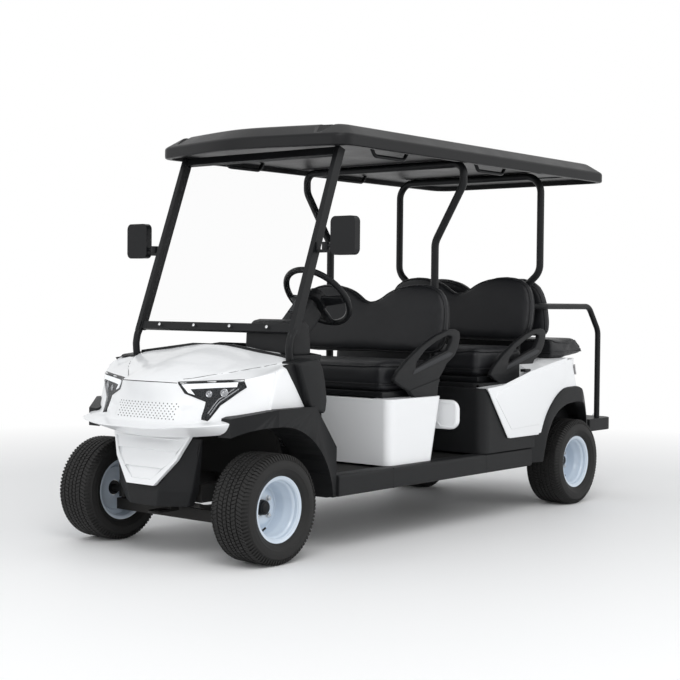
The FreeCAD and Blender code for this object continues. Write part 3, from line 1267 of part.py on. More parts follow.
def build_front_fenders(cowl_tool):
    """Black flare round the arch whose front draws in under the cowl, with a liner over the tyre."""
    x = s.front_axle_x
    out = s.fender_half_width
    skin_in = out - s.fender_skin
    side_in = out - s.fender_side_depth
    leg_x = x - s.fender_leg
    knee_x = x - s.fender_leg * FENDER_KNEE_SHARE
    tip_low = s.cowl_bottom - s.fender_side_depth
    pairs = [(leg_x, s.sill_bottom), (x, s.sill_bottom), (x + s.fender_tip, tip_low),
             (x + s.fender_tip, s.fender_tip_top),
             (x + s.fender_turn, s.fender_top), (knee_x, s.fender_top),
             (leg_x, s.fender_top * FENDER_LEG_SHARE)]
    tip_in = s.well_half_width + s.fender_skin
    face = [(x + s.fender_tip, s.fender_tip_half_width), (x + s.fender_turn, out), (leg_x, out)]
    plan = [(leg_x, side_in), (x + s.fender_turn, side_in),
            (x + s.fender_turn + s.fender_side_depth, tip_in),
            (x + s.fender_tip, tip_in)] + face
    skin, over = s.fender_skin, s.cut_over

    def flare(side, view):
        column = prism([vector(px, py, 0) for px, py in view], Z_AXIS * (s.fender_top + s.cowl_height))
        return side_prism(side, out + over, 0).common(column)
    solid = flare(pairs, plan)
    hollow = flare(inset(pairs, [-over, -over, skin, skin, skin, -over, -over]),
                   inset(plan, [-over, -over, -over, skin, skin, skin, -over]))
    shell = solid.cut(hollow.fuse(arch(s.arch_radius, x, 0, out + over, AXLE_Z)))
    outer = arch(s.arch_radius + s.liner_thickness, x, s.well_half_width, out, AXLE_Z)
    liner = outer.cut(arch(s.arch_radius, x, s.well_half_width - over, out + over, AXLE_Z))
    wide_plan = [(leg_x, s.well_half_width), (x + s.fender_tip, s.well_half_width)] + face
    liner = liner.common(flare(pairs, wide_plan))
    shape = shell.fuse(liner).cut(cowl_tool)
    largest = max(shape.Solids, key=lambda item: item.Volume)
    feature("front_fenders", both_sides(largest))


# How far the dash legs reach forward along the cowl, and how much of the dash's depth slants
LEG_REACH_SHARE = 0.26
DASH_SLANT_SHARE = 0.3


def build_dash(cowl_tool):
    """Moulded dash with an instrument hood between two tall legs that come down to the flares."""
    front = s.front_axle_x - s.dash_front
    rear = front - s.dash_depth
    slant = s.dash_depth * DASH_SLANT_SHARE
    pairs = [(front, s.dash_bottom), (front, s.dash_top - s.dash_wall), (rear + slant, s.dash_top),
             (rear, s.dash_top - slant), (rear + slant / 2, s.dash_bottom)]
    outer = side_prism(pairs, s.dash_half_width, -s.dash_half_width, s.dash_wall * 2)
    inner = side_prism(inset(pairs, [s.dash_wall, s.dash_wall, s.dash_wall, s.dash_wall, -s.cut_over]),
                       s.dash_half_width - s.dash_wall, s.dash_wall - s.dash_half_width)
    hood_rear = rear + slant
    foot = s.dash_top - s.dash_wall
    hood = [(hood_rear, foot), (hood_rear + s.binnacle_depth, foot),
            (hood_rear + s.binnacle_depth, s.dash_top),
            (hood_rear + s.binnacle_depth / 2, s.dash_top + s.binnacle_rise),
            (hood_rear, s.dash_top + s.binnacle_rise)]
    near, far = s.column_y - s.binnacle_half_width, s.column_y + s.binnacle_half_width
    side_view = side_prism(hood, far, near)
    head = s.dash_top + s.binnacle_rise
    round_top = s.binnacle_round
    front_view = prism([vector(rear, near, foot), vector(rear, far, foot), vector(rear, far, head),
                        vector(rear, near, head)],
                       vector(s.dash_depth, 0, 0), [0, 0, round_top, round_top])
    binnacle = side_view.common(front_view)
    shell = outer.cut(inner).fuse(binnacle)
    leg_in = s.screen_half_width + s.post_width / 2 + s.panel_gap
    leg_front = COWL_REAR_X + s.cowl_length * LEG_REACH_SHARE
    leg_low = s.fender_top + s.panel_gap
    leg_pairs = [(leg_front, leg_low), (leg_front, s.leg_top), (rear, s.leg_top),
                 (rear - s.leg_width / 4, leg_low)]
    side_leg = side_prism(leg_pairs, s.leg_half_width, leg_in, [0, 0, s.leg_round * 2, 0])
    points = [vector(rear - s.leg_width, leg_in, leg_low),
              vector(rear - s.leg_width, s.leg_half_width, leg_low),
              vector(rear - s.leg_width, s.leg_half_width, s.leg_top),
              vector(rear - s.leg_width, leg_in, s.leg_top)]
    front_leg = prism(points, vector(leg_front - rear + 2 * s.leg_width, 0, 0), [0, 0, s.leg_round, 0])
    leg = side_leg.common(front_leg)
    tie = side_prism([(rear + s.leg_width, s.dash_bottom), (rear + s.leg_width, s.leg_top - s.leg_width),
                      (rear + s.leg_width / 2, s.leg_top - s.leg_width),
                      (rear + s.leg_width / 2, s.dash_bottom)],
                     leg_in + s.dash_wall, s.dash_half_width - s.dash_wall)
    shape = shell.fuse([leg, mirrored(leg), tie, mirrored(tie)]).cut(cowl_tool)
    axis_top = WHEEL_CENTRE - COLUMN_AXIS * s.wheel_drop
    hole = rod(axis_top, axis_top - COLUMN_AXIS * (s.column_length + s.cut_over),
               s.column_radius + s.panel_gap)
    shape = shape.cut(hole)
    largest = max(shape.Solids, key=lambda item: item.Volume)
    feature("dashboard", largest.removeSplitter())


# Rear body

# A cut-off piece smaller than this share of the body is scrap
SCRAP_SHARE = 0.02


def tail_corner(shift):
    """Space outside the slanting rear corner of the left quarter, moved outwards by a shift."""
    start_x = REAR_AXLE_X + s.quarter_rear
    levels = ((s.rear_flare_top - s.cut_over, start_x),
              (s.rear_body_top + s.cut_over, start_x + s.quarter_slant))
    wires = []
    for z, front_x in levels:
        start, end = vector(front_x, s.quarter_half_width, z), vector(TAIL_X, s.tail_half_width, z)
        along = end - start
        away = vector(along.y, -along.x, 0).normalize() * shift
        first, last = start - along / 2 + away, end + along / 2 + away
        wires.append(outline([first, last, vector(last.x, first.y, z)]))
    return Part.makeLoft(wires, True, True)


def build_rear_body():
    """White quarters and tail: a hollow deck with its wheel wells cut out."""
    x = REAR_AXLE_X
    top = s.rear_body_top
    deck_front = MID_BOX_REAR_X - s.panel_gap
    step = REAR_FRAME_X - 2 * s.roof_tube_radius
    tub = [(deck_front, s.rear_body_bottom), (deck_front, s.mid_box_top), (step, s.mid_box_top),
           (step - s.panel_wall * 2, top), (TAIL_X, top), (TAIL_X, s.rear_body_bottom)]
    wing = [(x + s.quarter_front, s.quarter_top_front), (x + s.rear_flare_radius, s.mid_box_top),
            (x + s.rear_back_foot * 2, top), (TAIL_X, top), (TAIL_X, s.quarter_bottom),
            (x + s.quarter_front_foot, s.quarter_bottom)]
    wing_in = s.mid_box_half_width + s.panel_gap
    wall = s.panel_wall
    outer_tub = side_prism(tub, s.tail_half_width, -s.tail_half_width)
    inner_tub = side_prism(inset(tub, [wall, wall, wall, wall, wall, -s.cut_over]),
                           s.tail_half_width - wall, wall - s.tail_half_width)
    outer_wing = side_prism(wing, s.quarter_half_width, wing_in)
    bridge = [(deck_front, s.rear_body_bottom), (deck_front, s.mid_box_top),
              (x + s.rear_back_foot * 2, top),
              (TAIL_X, top), (TAIL_X, s.rear_body_bottom)]
    bridge_solid = side_prism(bridge, wing_in + wall, s.tail_half_width - wall)
    inner_wing = side_prism(inset(wing, [wall] * 4 + [-s.cut_over, wall]), s.quarter_half_width - wall,
                            wing_in + wall)
    inner_bridge = side_prism(inset(bridge, [wall, wall, wall, wall, -s.cut_over]), wing_in + 2 * wall,
                              s.tail_half_width - 2 * wall)
    inner_wing = inner_wing.cut(tail_corner(-wall))
    inner_bridge = inner_bridge.cut(tail_corner(-wall))
    sides = outer_wing.fuse(bridge_solid).cut(tail_corner(0))
    shape = outer_tub.fuse([sides, mirrored(sides)])
    well = arch(s.rear_arch_radius + s.liner_thickness + s.panel_gap, x,
                s.rear_well_half_width - s.panel_gap,
                s.quarter_half_width + s.cut_over, AXLE_Z)
    flare_cut = arch(s.rear_flare_radius + s.panel_gap, x, s.tail_half_width,
                     s.quarter_half_width + s.cut_over, AXLE_Z)
    flat = block(vector(x - 2 * s.rear_flare_radius, 0, 0),
                 vector(x + 2 * s.rear_flare_radius, 2 * s.quarter_half_width,
                        s.rear_flare_top + s.panel_gap))
    cuts = well.fuse(flare_cut.common(flat))
    shape = shape.cut(Part.makeCompound([inner_tub, inner_wing, mirrored(inner_wing), inner_bridge,
                                         mirrored(inner_bridge), cuts, mirrored(cuts)]))
    solids = sorted(shape.Solids, key=lambda solid: solid.Volume)
    least = solids[-1].Volume * SCRAP_SHARE
    feature("rear_body", Part.makeCompound([solid for solid in solids if solid.Volume > least]))


def build_rear_fenders():
    """Black rear flare: ring skin clipped flat on top, with a liner over the tyre."""
    x = REAR_AXLE_X
    skin_in = s.tail_half_width + s.panel_gap
    out = s.rear_flare_half_width
    ring = arch(s.rear_flare_radius, x, out - s.fender_skin, out, AXLE_Z)
    over = s.cut_over
    ring = ring.cut(arch(s.rear_arch_radius, x, out - s.fender_skin - over, out + over, AXLE_Z))
    keep = block(vector(x - 2 * s.rear_flare_radius, 0, s.sill_bottom),
                 vector(x + 2 * s.rear_flare_radius, 2 * out, s.rear_flare_top))
    liner = arch(s.rear_arch_radius + s.liner_thickness, x, s.rear_well_half_width, out, AXLE_Z)
    liner = liner.cut(arch(s.rear_arch_radius, x, s.rear_well_half_width - over, out + over, AXLE_Z))
    shape = ring.fuse(liner).common(keep)
    feature("rear_fenders", both_sides(shape.removeSplitter()))


def build_footrest():
    item = body("footrest")
    plan = sketch(item, "footrest_plan", "XY_Plane", "Sizes.footrest_top - Sizes.footrest_thickness")
    front = TAIL_X - s.panel_gap
    step = REAR_AXLE_X - s.rear_arch_radius - s.liner_thickness - s.panel_gap
    half = s.footrest_half_width
    narrow = s.rear_well_half_width - s.panel_gap
    points = [vector(front, -narrow, 0), vector(front, narrow, 0), vector(step, narrow, 0),
              vector(step, half, 0),
              vector(FOOTREST_END_X, half, 0), vector(FOOTREST_END_X, -half, 0), vector(step, -half, 0),
              vector(step, -narrow, 0)]
    draw(plan, rounded_edges(points, [0, 0, 0, 0, s.footrest_round, s.footrest_round, 0, 0]))
    pad(item, "footrest_plate", plan, "Sizes.footrest_thickness")


def build_grab_bars():
    foot = vector(FOOTREST_END_X + s.grab_foot, s.grab_place, s.footrest_top + s.panel_gap)
    shoulder = vector(foot.x, foot.y, s.grab_shoulder_z)
    turn = vector(foot.x + s.grab_turn, foot.y, s.grab_top_z)
    post = vector(REAR_FRAME_X, s.rear_frame_waist, s.grab_top_z)
    away = vector(-1, 1, 0).normalize()
    end = post + away * (s.roof_tube_radius + s.panel_gap)
    corner = post + away * ((s.grab_place - s.rear_frame_waist) / away.y)
    feature("grab_bars", both_sides(tube([foot, shoulder, turn, corner, end], s.grab_radius, s.grab_bend)))


# Tail lamp outline: shares of its length and height
TAIL_LAMP_SHARES = ((0.10, 0.0), (1.0, 0.15), (0.88, 0.85), (0.45, 1.0), (0.0, 0.8))


def build_tail_lamps():
    """Small angular lamps that hug the slanting rear corners of the quarters."""
    rear = REAR_AXLE_X + s.quarter_rear - s.tail_lamp_place
    low = s.rear_body_top - s.tail_lamp_drop
    pairs = [(rear + a * s.tail_lamp_length, low + b * s.tail_lamp_height) for a, b in TAIL_LAMP_SHARES]
    through = side_prism(pairs, s.quarter_half_width + s.tail_lamp_depth, 0)
    lamp = through.common(tail_corner(s.panel_gap)).cut(tail_corner(s.panel_gap + s.tail_lamp_depth))
    feature("tail_lamps", both_sides(lamp))


# Controls

LEAN = math.radians(s.column_lean)
COLUMN_AXIS = vector(-math.sin(LEAN), 0, math.cos(LEAN))
WHEEL_CENTRE = vector(s.front_axle_x - s.wheel_centre_x, s.column_y, s.wheel_centre_z)


def build_steering():
    """Ring, spokes and boss, and the column that carries them."""
    top = WHEEL_CENTRE - COLUMN_AXIS * s.wheel_drop
    ring = Part.makeTorus(s.wheel_radius, s.wheel_grip)
    boss = Part.makeCylinder(s.wheel_boss_radius, s.wheel_boss_height, vector(0, 0, -s.wheel_drop))
    shape = ring.fuse(boss)
    for turn in (math.pi / 2, -math.pi / 2, math.pi):
        tip = vector(s.wheel_radius * math.cos(turn), s.wheel_radius * math.sin(turn), 0)
        near = vector(0, 0, s.wheel_boss_height / 2 - s.wheel_drop)
        shape = shape.fuse(rod(near, tip, s.spoke_radius))
    shape.Placement = FreeCAD.Placement(WHEEL_CENTRE, FreeCAD.Rotation(Y_AXIS, -s.column_lean))
    feature("steering_wheel", shape)
    column = rod(top - COLUMN_AXIS * s.panel_gap, top - COLUMN_AXIS * s.column_length, s.column_radius)
    feature("steering_column", column)


def build_pedals():
    """Hanging brake pedal and floor-hinged accelerator."""
    slope = math.atan2(s.toe_foot - s.toe_head, s.toe_height)
    up = vector(math.sin(slope), 0, math.cos(slope))
    out = vector(-math.cos(slope), 0, math.sin(slope))
    foot = vector(s.front_axle_x - s.toe_foot, s.column_y, s.floor_top)
    brake_centre = foot + up * (s.pedal_lift + s.pedal_height / 2) + out * s.pedal_lift / 2
    half = Y_AXIS * (s.pedal_width / 2)
    rise = up * (s.pedal_height / 2)
    face = prism([brake_centre - half - rise, brake_centre + half - rise, brake_centre + half + rise,
                  brake_centre - half + rise], out * s.pedal_thickness)
    arm = rod(brake_centre + out * s.panel_gap, brake_centre - out * (s.pedal_lift / 2 - s.panel_gap),
              s.pedal_arm_radius)
    base = foot - Y_AXIS * s.pedal_spacing + up * (s.accelerator_height / 3) + out * s.panel_gap
    wide = Y_AXIS * (s.accelerator_width / 2)
    gas = prism([base - wide, base + wide, base + wide + up * s.accelerator_height,
                 base - wide + up * s.accelerator_height], out * s.pedal_thickness)
    feature("pedals", Part.makeCompound([face.fuse(arm), gas]))


def build_mirrors():
    """Mirror heads on short arms that fold about an upright pivot, and their clamps."""
    post = screen_point(s.mirror_z - s.mirror_height / 4)
    pivot = vector(post.x, s.mirror_pivot_y, 0)
    low = s.mirror_z - s.mirror_height / 2
    head_in = s.mirror_reach - s.mirror_width / 2
    head_out = s.mirror_reach + s.mirror_width / 2
    face_x = post.x - s.mirror_depth / 2
    points = [vector(face_x, head_in, low), vector(face_x, head_out, low),
              vector(face_x, head_out, low + s.mirror_height),
              vector(face_x, head_in, low + s.mirror_height)]
    head = prism(points, vector(s.mirror_depth, 0, 0), s.mirror_round)
    arm_z = post.z
    barrel = rod(vector(pivot.x, pivot.y, arm_z - s.mirror_arm_radius * 2),
                 vector(pivot.x, pivot.y, arm_z + s.mirror_arm_radius * 2),
                 s.mirror_pivot_radius + s.mirror_arm_radius)
    arm = rod(vector(pivot.x, pivot.y, arm_z), vector(pivot.x, head_in + s.mirror_round, arm_z),
              s.mirror_arm_radius)
    shape = head.fuse([barrel, arm])
    bore = rod(vector(pivot.x, pivot.y, low), vector(pivot.x, pivot.y, low + s.mirror_height),
               s.mirror_pivot_radius + s.running_fit)
    shape = shape.cut(bore)
    feature("mirror_left", shape)
    feature("mirror_right", mirrored(shape))


def build_mirror_clamps():
    """Clamp on each screen post with the pin that the mirror folds about."""
    post = screen_point(s.mirror_z - s.mirror_height / 4)
    post_out = s.screen_half_width + s.post_width / 2 + s.panel_gap
    arm_z = post.z
    reach = s.mirror_arm_radius * 2
    ear = s.mirror_pivot_radius + s.mirror_arm_radius / 2
    plate_low = vector(post.x - ear, post_out, arm_z - reach - ear)
    lower = block(plate_low, vector(post.x + ear, s.mirror_pivot_y + ear, arm_z - reach - s.panel_gap))
    pin = rod(vector(post.x, s.mirror_pivot_y, arm_z - reach - ear),
              vector(post.x, s.mirror_pivot_y, arm_z + reach),
              s.mirror_pivot_radius)
    back = block(plate_low, vector(post.x + ear, post_out + s.panel_wall, arm_z + reach))
    feature("mirror_clamps", both_sides(lower.fuse([pin, back]).removeSplitter()))


build_wheels()
build_front_axle()
build_knuckles()
build_tie_rod()
build_rear_axle()
build_frame()
build_floor()
build_sills()
build_front_box()
build_mid_box()
build_battery()
build_guards()
build_seats()
armrests("front_armrests", ROW_ONE_X, s.front_box_top + s.panel_gap)
armrests("mid_armrests", ROW_TWO_X, s.mid_box_top + s.panel_gap)
build_roof()
build_roof_frames()
cowl_tool = cowl_solid(-s.panel_gap, 0, -s.panel_gap, s.panel_gap)
build_screen(cowl_tool)
build_cowl()
build_headlamps(cowl_tool)
build_tray()
build_front_fenders(cowl_tool)
build_dash(cowl_tool)
build_rear_body()
build_rear_fenders()
build_footrest()
build_grab_bars()
build_tail_lamps()
build_steering()
build_pedals()
build_mirrors()
build_mirror_clamps()
document.recompute()

for item in document.Objects:
    if "Invalid" in item.State or "Error" in item.State:
        raise RuntimeError("%s failed: %s" % (item.Label, item.State))
for item in nodes:
    if item.Shape.isNull() or not item.Shape.isValid() or not item.Shape.Solids:
        raise RuntimeError("%s has no valid solid" % item.Label)
for item in nodes:
    item.Shape.exportStep("parts/%s.step" % item.Label)
    print("%-18s %d solid(s) %9.0f cm3" % (item.Label, len(item.Shape.Solids), item.Shape.Volume / 1000))
print("nodes", len(nodes))
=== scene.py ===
"""Looks of a six-seat golf cart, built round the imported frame."""

import json
import logging
import math
from collections.abc import Iterator
from contextlib import contextmanager
from dataclasses import dataclass
from enum import Enum

import bpy
from mathutils import Matrix, Vector
from mathutils.bvhtree import BVHTree
from mathutils.geometry import delaunay_2d_cdt, intersect_point_line
from mathutils.kdtree import KDTree

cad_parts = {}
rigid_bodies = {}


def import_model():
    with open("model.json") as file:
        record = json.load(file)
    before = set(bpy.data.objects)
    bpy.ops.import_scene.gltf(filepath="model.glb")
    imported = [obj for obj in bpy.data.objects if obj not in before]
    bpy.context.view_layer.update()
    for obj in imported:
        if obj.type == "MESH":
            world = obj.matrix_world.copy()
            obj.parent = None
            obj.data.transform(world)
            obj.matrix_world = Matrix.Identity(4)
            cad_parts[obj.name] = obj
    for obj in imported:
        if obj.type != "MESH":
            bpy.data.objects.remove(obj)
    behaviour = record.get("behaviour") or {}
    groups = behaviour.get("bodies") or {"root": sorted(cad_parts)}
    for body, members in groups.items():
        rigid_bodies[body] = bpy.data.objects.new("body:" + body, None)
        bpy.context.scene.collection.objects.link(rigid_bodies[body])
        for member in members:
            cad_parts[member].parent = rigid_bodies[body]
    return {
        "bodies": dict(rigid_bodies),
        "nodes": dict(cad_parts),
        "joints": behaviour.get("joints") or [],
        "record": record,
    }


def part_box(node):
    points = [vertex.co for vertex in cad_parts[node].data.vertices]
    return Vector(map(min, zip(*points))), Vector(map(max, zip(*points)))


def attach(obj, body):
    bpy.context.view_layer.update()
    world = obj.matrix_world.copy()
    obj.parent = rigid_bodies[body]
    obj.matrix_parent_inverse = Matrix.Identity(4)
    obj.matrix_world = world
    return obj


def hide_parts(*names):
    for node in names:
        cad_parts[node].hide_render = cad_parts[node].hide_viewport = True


Piece = bpy.types.Object
Socket = bpy.types.NodeSocket
UP = Vector((0, 0, 1))

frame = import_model()
LOG = logging.getLogger("golf_cart")
MERGE = 0.00001
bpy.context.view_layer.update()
NODE_BODY = {node: body for body, nodes in frame["record"]["behaviour"]["bodies"].items() for node in nodes}


# Finishes

class Tree:
    """The node tree of a material or of the world, filled by name."""

    def __init__(self, owner: bpy.types.ID, end: str) -> None:
        """Starts a tree with only its output.

        Args:
            owner: the material or the world.
            end: type of the output, Material or World.
        """
        owner.use_nodes = True
        self.owner = owner
        self.nodes = owner.node_tree.nodes
        self.links = owner.node_tree.links
        self.nodes.clear()
        self.output = self.nodes.new("ShaderNodeOutput" + end)

    def add(self, kind: str, **sockets: object) -> bpy.types.Node:
        """Adds a node and sets its sockets.

        Args:
            kind: the node's type without its ShaderNode prefix.
            **sockets: values by socket name, with underscores for blanks.

        Returns:
            The new node.
        """
        node = self.nodes.new("ShaderNode" + kind)
        for key, value in sockets.items():
            node.inputs[key.replace("_", " ")].default_value = value
        return node

    def link(self, source: Socket, target: Socket) -> None:
        """Links two sockets."""
        self.links.new(source, target)

    def texture(self, kind: str, feature: str = "", **sockets: object) -> Socket:
        """Adds a texture that lies on the surface's place in the frame.

        Args:
            kind: the texture's type.
            feature: the measure it gives, where it has more than one.
            **sockets: values by socket name.

        Returns:
            Its value socket.
        """
        node = self.add("Tex" + kind, **sockets)
        if feature:
            node.feature = feature
        where = self.add("TexCoord")
        self.link(where.outputs["Object"], node.inputs["Vector"])
        return node.outputs[0]

    def maths(self, operation: str, first: Socket, second: Socket) -> Socket:
        """Combines two values.

        Args:
            operation: name of the operation.
            first: first value.
            second: second value.

        Returns:
            The value socket.
        """
        node = self.add("Math")
        node.operation = operation
        self.link(first, node.inputs[0])
        self.link(second, node.inputs[1])
        return node.outputs["Value"]

    def watched(self) -> Socket:
        """Tells whether a ray is seen directly, mirrored or through glass.

        Returns:
            The value socket, 1 for such a ray.
        """
        path = self.add("LightPath")
        ray = path.outputs["Is Camera Ray"]
        for kind in ("Is Glossy Ray", "Is Transmission Ray"):
            ray = self.maths("MAXIMUM", ray, path.outputs[kind])
        return ray

    def blend(self, factor: Socket, first: Socket, second: Socket) -> None:
        """Mixes two shaders into the output.

        Args:
            factor: the mixing factor.
            first: shader at 0.
            second: shader at 1.
        """
        mix = self.add("MixShader")
        self.link(factor, mix.inputs["Fac"])
        self.link(first, mix.inputs[1])
        self.link(second, mix.inputs[2])
        self.link(mix.outputs["Shader"], self.output.inputs["Surface"])

    def roughen(self, shader: bpy.types.Node, source: Socket, low: float, high: float) -> None:
        """Drives a shader's roughness by a factor.

        Args:
            shader: the shader node.
            source: the factor.
            low: roughness at 0.
            high: roughness at 1.
        """
        node = self.add("MapRange", To_Min=low, To_Max=high)
        self.link(source, node.inputs["Value"])
        self.link(node.outputs["Result"], shader.inputs["Roughness"])

    def tint(self, shader: bpy.types.Node, source: Socket, dark: tuple, pale: tuple) -> None:
        """Drives a shader's colour by a factor.

        Args:
            shader: the shader node.
            source: the factor.
            dark: colour at 0.
            pale: colour at 1.
        """
        node = self.add("ValToRGB")
        node.color_ramp.elements[0].color = (*dark, 1)
        node.color_ramp.elements[1].color = (*pale, 1)
        self.link(source, node.inputs["Fac"])
        self.link(node.outputs["Color"], shader.inputs["Base Color"])

    def surface(self, **sockets: object) -> bpy.types.Node:
        """Adds the shader and links it to the output.

        Args:
            **sockets: values by socket name.

        Returns:
            The shader node.
        """
        shader = self.add("BsdfPrincipled", **sockets)
        self.link(shader.outputs["BSDF"], self.output.inputs["Surface"])
        return shader

    def bump(self, shader: bpy.types.Node, height: Socket, strength: float, depth: float) -> None:
        """Drives a shader's normal by a height.

        Args:
            shader: the shader node.
            height: the height factor.
            strength: share of the bump that shows.
            depth: height of the bump in metres.
        """
        node = self.add("Bump", Strength=strength, Distance=depth)
        self.link(height, node.inputs["Height"])
        self.link(node.outputs["Normal"], shader.inputs["Normal"])


@dataclass(frozen=True)
class Look:
    """A finish that is known by its name."""

    name: str

    def fill(self, tree: Tree) -> None:
        """Adds the nodes; each kind has its own."""
        raise NotImplementedError

    def make(self) -> bpy.types.Material:
        """Builds the material.

        Returns:
            The material.
        """
        tree = Tree(bpy.data.materials.new("finish_" + self.name), "Material")
        self.fill(tree)
        return tree.owner


@dataclass(frozen=True)
class Gloss(Look):
    """Glossy painted or moulded panel with a clear top coat."""

    colour: tuple = (0.86, 0.87, 0.88)
    shade: tuple = (0.85, 0.86, 0.872)
    rough: float = 0.36
    coat: float = 0.3

    def fill(self, tree: Tree) -> None:
        """Adds the nodes."""
        cloud = tree.texture("Noise", Scale=3.0, Detail=2.0)
        peel = tree.texture("Noise", Scale=260.0, Detail=1.0)
        shader = tree.surface(Coat_Weight=self.coat, Coat_Roughness=0.06, IOR=1.5)
        tree.tint(shader, cloud, self.shade, self.colour)
        tree.roughen(shader, cloud, self.rough * 0.96, self.rough * 1.04)
        tree.bump(shader, peel, 0.12, 0.0004)


@dataclass(frozen=True)
class Moulded(Look):
    """Black moulded plastic with a fine pebbled grain."""

    colour: tuple = (0.0085, 0.009, 0.0098)
    dust: tuple = (0.015, 0.0155, 0.0165)
    rough: float = 0.46
    grain: float = 900.0
    depth: float = 0.0004
    sheen: float = 0.17

    def fill(self, tree: Tree) -> None:
        """Adds the nodes."""
        cloud = tree.texture("Noise", Scale=7.0, Detail=4.0)
        grain = tree.texture("Voronoi", Scale=self.grain)
        shader = tree.surface(IOR=1.5, Specular_IOR_Level=self.sheen)
        tree.tint(shader, cloud, self.colour, self.dust)
        tree.roughen(shader, cloud, self.rough - 0.08, self.rough + 0.1)
        tree.bump(shader, grain, 0.5, self.depth)


@dataclass(frozen=True)
class Vinyl(Look):
    """Seat vinyl with a pressed leather grain and soft creases."""

    colour: tuple = (0.0075, 0.008, 0.0095)
    worn: tuple = (0.0125, 0.013, 0.015)
    rough: float = 0.46

    def fill(self, tree: Tree) -> None:
        """Adds the nodes."""
        cloud = tree.texture("Noise", Scale=5.0, Detail=3.0)
        grain = tree.texture("Voronoi", "DISTANCE_TO_EDGE", Scale=420.0)
        crease = tree.texture("Noise", Scale=26.0, Detail=5.0, Distortion=0.6)
        both = tree.add("Math")
        both.operation = "MULTIPLY_ADD"
        both.inputs[1].default_value = 1.6
        tree.link(crease, both.inputs[0])
        tree.link(grain, both.inputs[2])
        shader = tree.surface(IOR=1.46, Specular_IOR_Level=0.32, Sheen_Weight=0.03, Sheen_Roughness=0.4)
        tree.tint(shader, cloud, self.colour, self.worn)
        tree.roughen(shader, crease, self.rough - 0.06, self.rough + 0.08)
        tree.bump(shader, both.outputs["Value"], 0.45, 0.0006)


@dataclass(frozen=True)
class Rubber(Look):
    """Tyre rubber with dust in patches."""

    colour: tuple = (0.0095, 0.0095, 0.0095)
    dust: tuple = (0.019, 0.0185, 0.018)

    def fill(self, tree: Tree) -> None:
        """Adds the nodes."""
        cloud = tree.texture("Noise", Scale=18.0, Detail=6.0)
        shader = tree.surface(IOR=1.48, Specular_IOR_Level=0.3)
        tree.tint(shader, cloud, self.colour, self.dust)
        tree.roughen(shader, cloud, 0.5, 0.75)
        tree.bump(shader, cloud, 0.4, 0.0008)


@dataclass(frozen=True)
class Metal(Look):
    """Bare or plated metal with fine scratches."""

    colour: tuple = (0.62, 0.63, 0.64)
    rough: float = 0.28

    def fill(self, tree: Tree) -> None:
        """Adds the nodes."""
        scratch = tree.texture("Noise", Scale=160.0, Detail=6.0, Roughness=0.7)
        shader = tree.surface(Metallic=1.0, Base_Color=(*self.colour, 1))
        tree.roughen(shader, scratch, self.rough * 0.6, self.rough * 1.4)


@dataclass(frozen=True)
class Clear(Look):
    """Clear or tinted pane that lets light through."""

    colour: tuple = (0.05, 0.055, 0.06)
    alpha: float = 0.015
    rough: float = 0.03

    def fill(self, tree: Tree) -> None:
        """Adds the nodes."""
        haze = tree.texture("Noise", Scale=4.0, Detail=3.0)
        shader = tree.surface(Base_Color=(*self.colour, 1), Alpha=self.alpha, IOR=1.49)
        tree.roughen(shader, haze, self.rough, self.rough * 2)


@dataclass(frozen=True)
class Glow(Look):
    """Lit white light guide."""

    colour: tuple = (0.93, 0.95, 0.97)
    power: float = 0.35

    def fill(self, tree: Tree) -> None:
        """Adds the nodes."""
        ribs = tree.texture("Noise", Scale=60.0)
        shader = tree.surface(Base_Color=(*self.colour, 1), Emission_Color=(*self.colour, 1),
                              Emission_Strength=self.power, IOR=1.49)
        tree.roughen(shader, ribs, 0.1, 0.2)


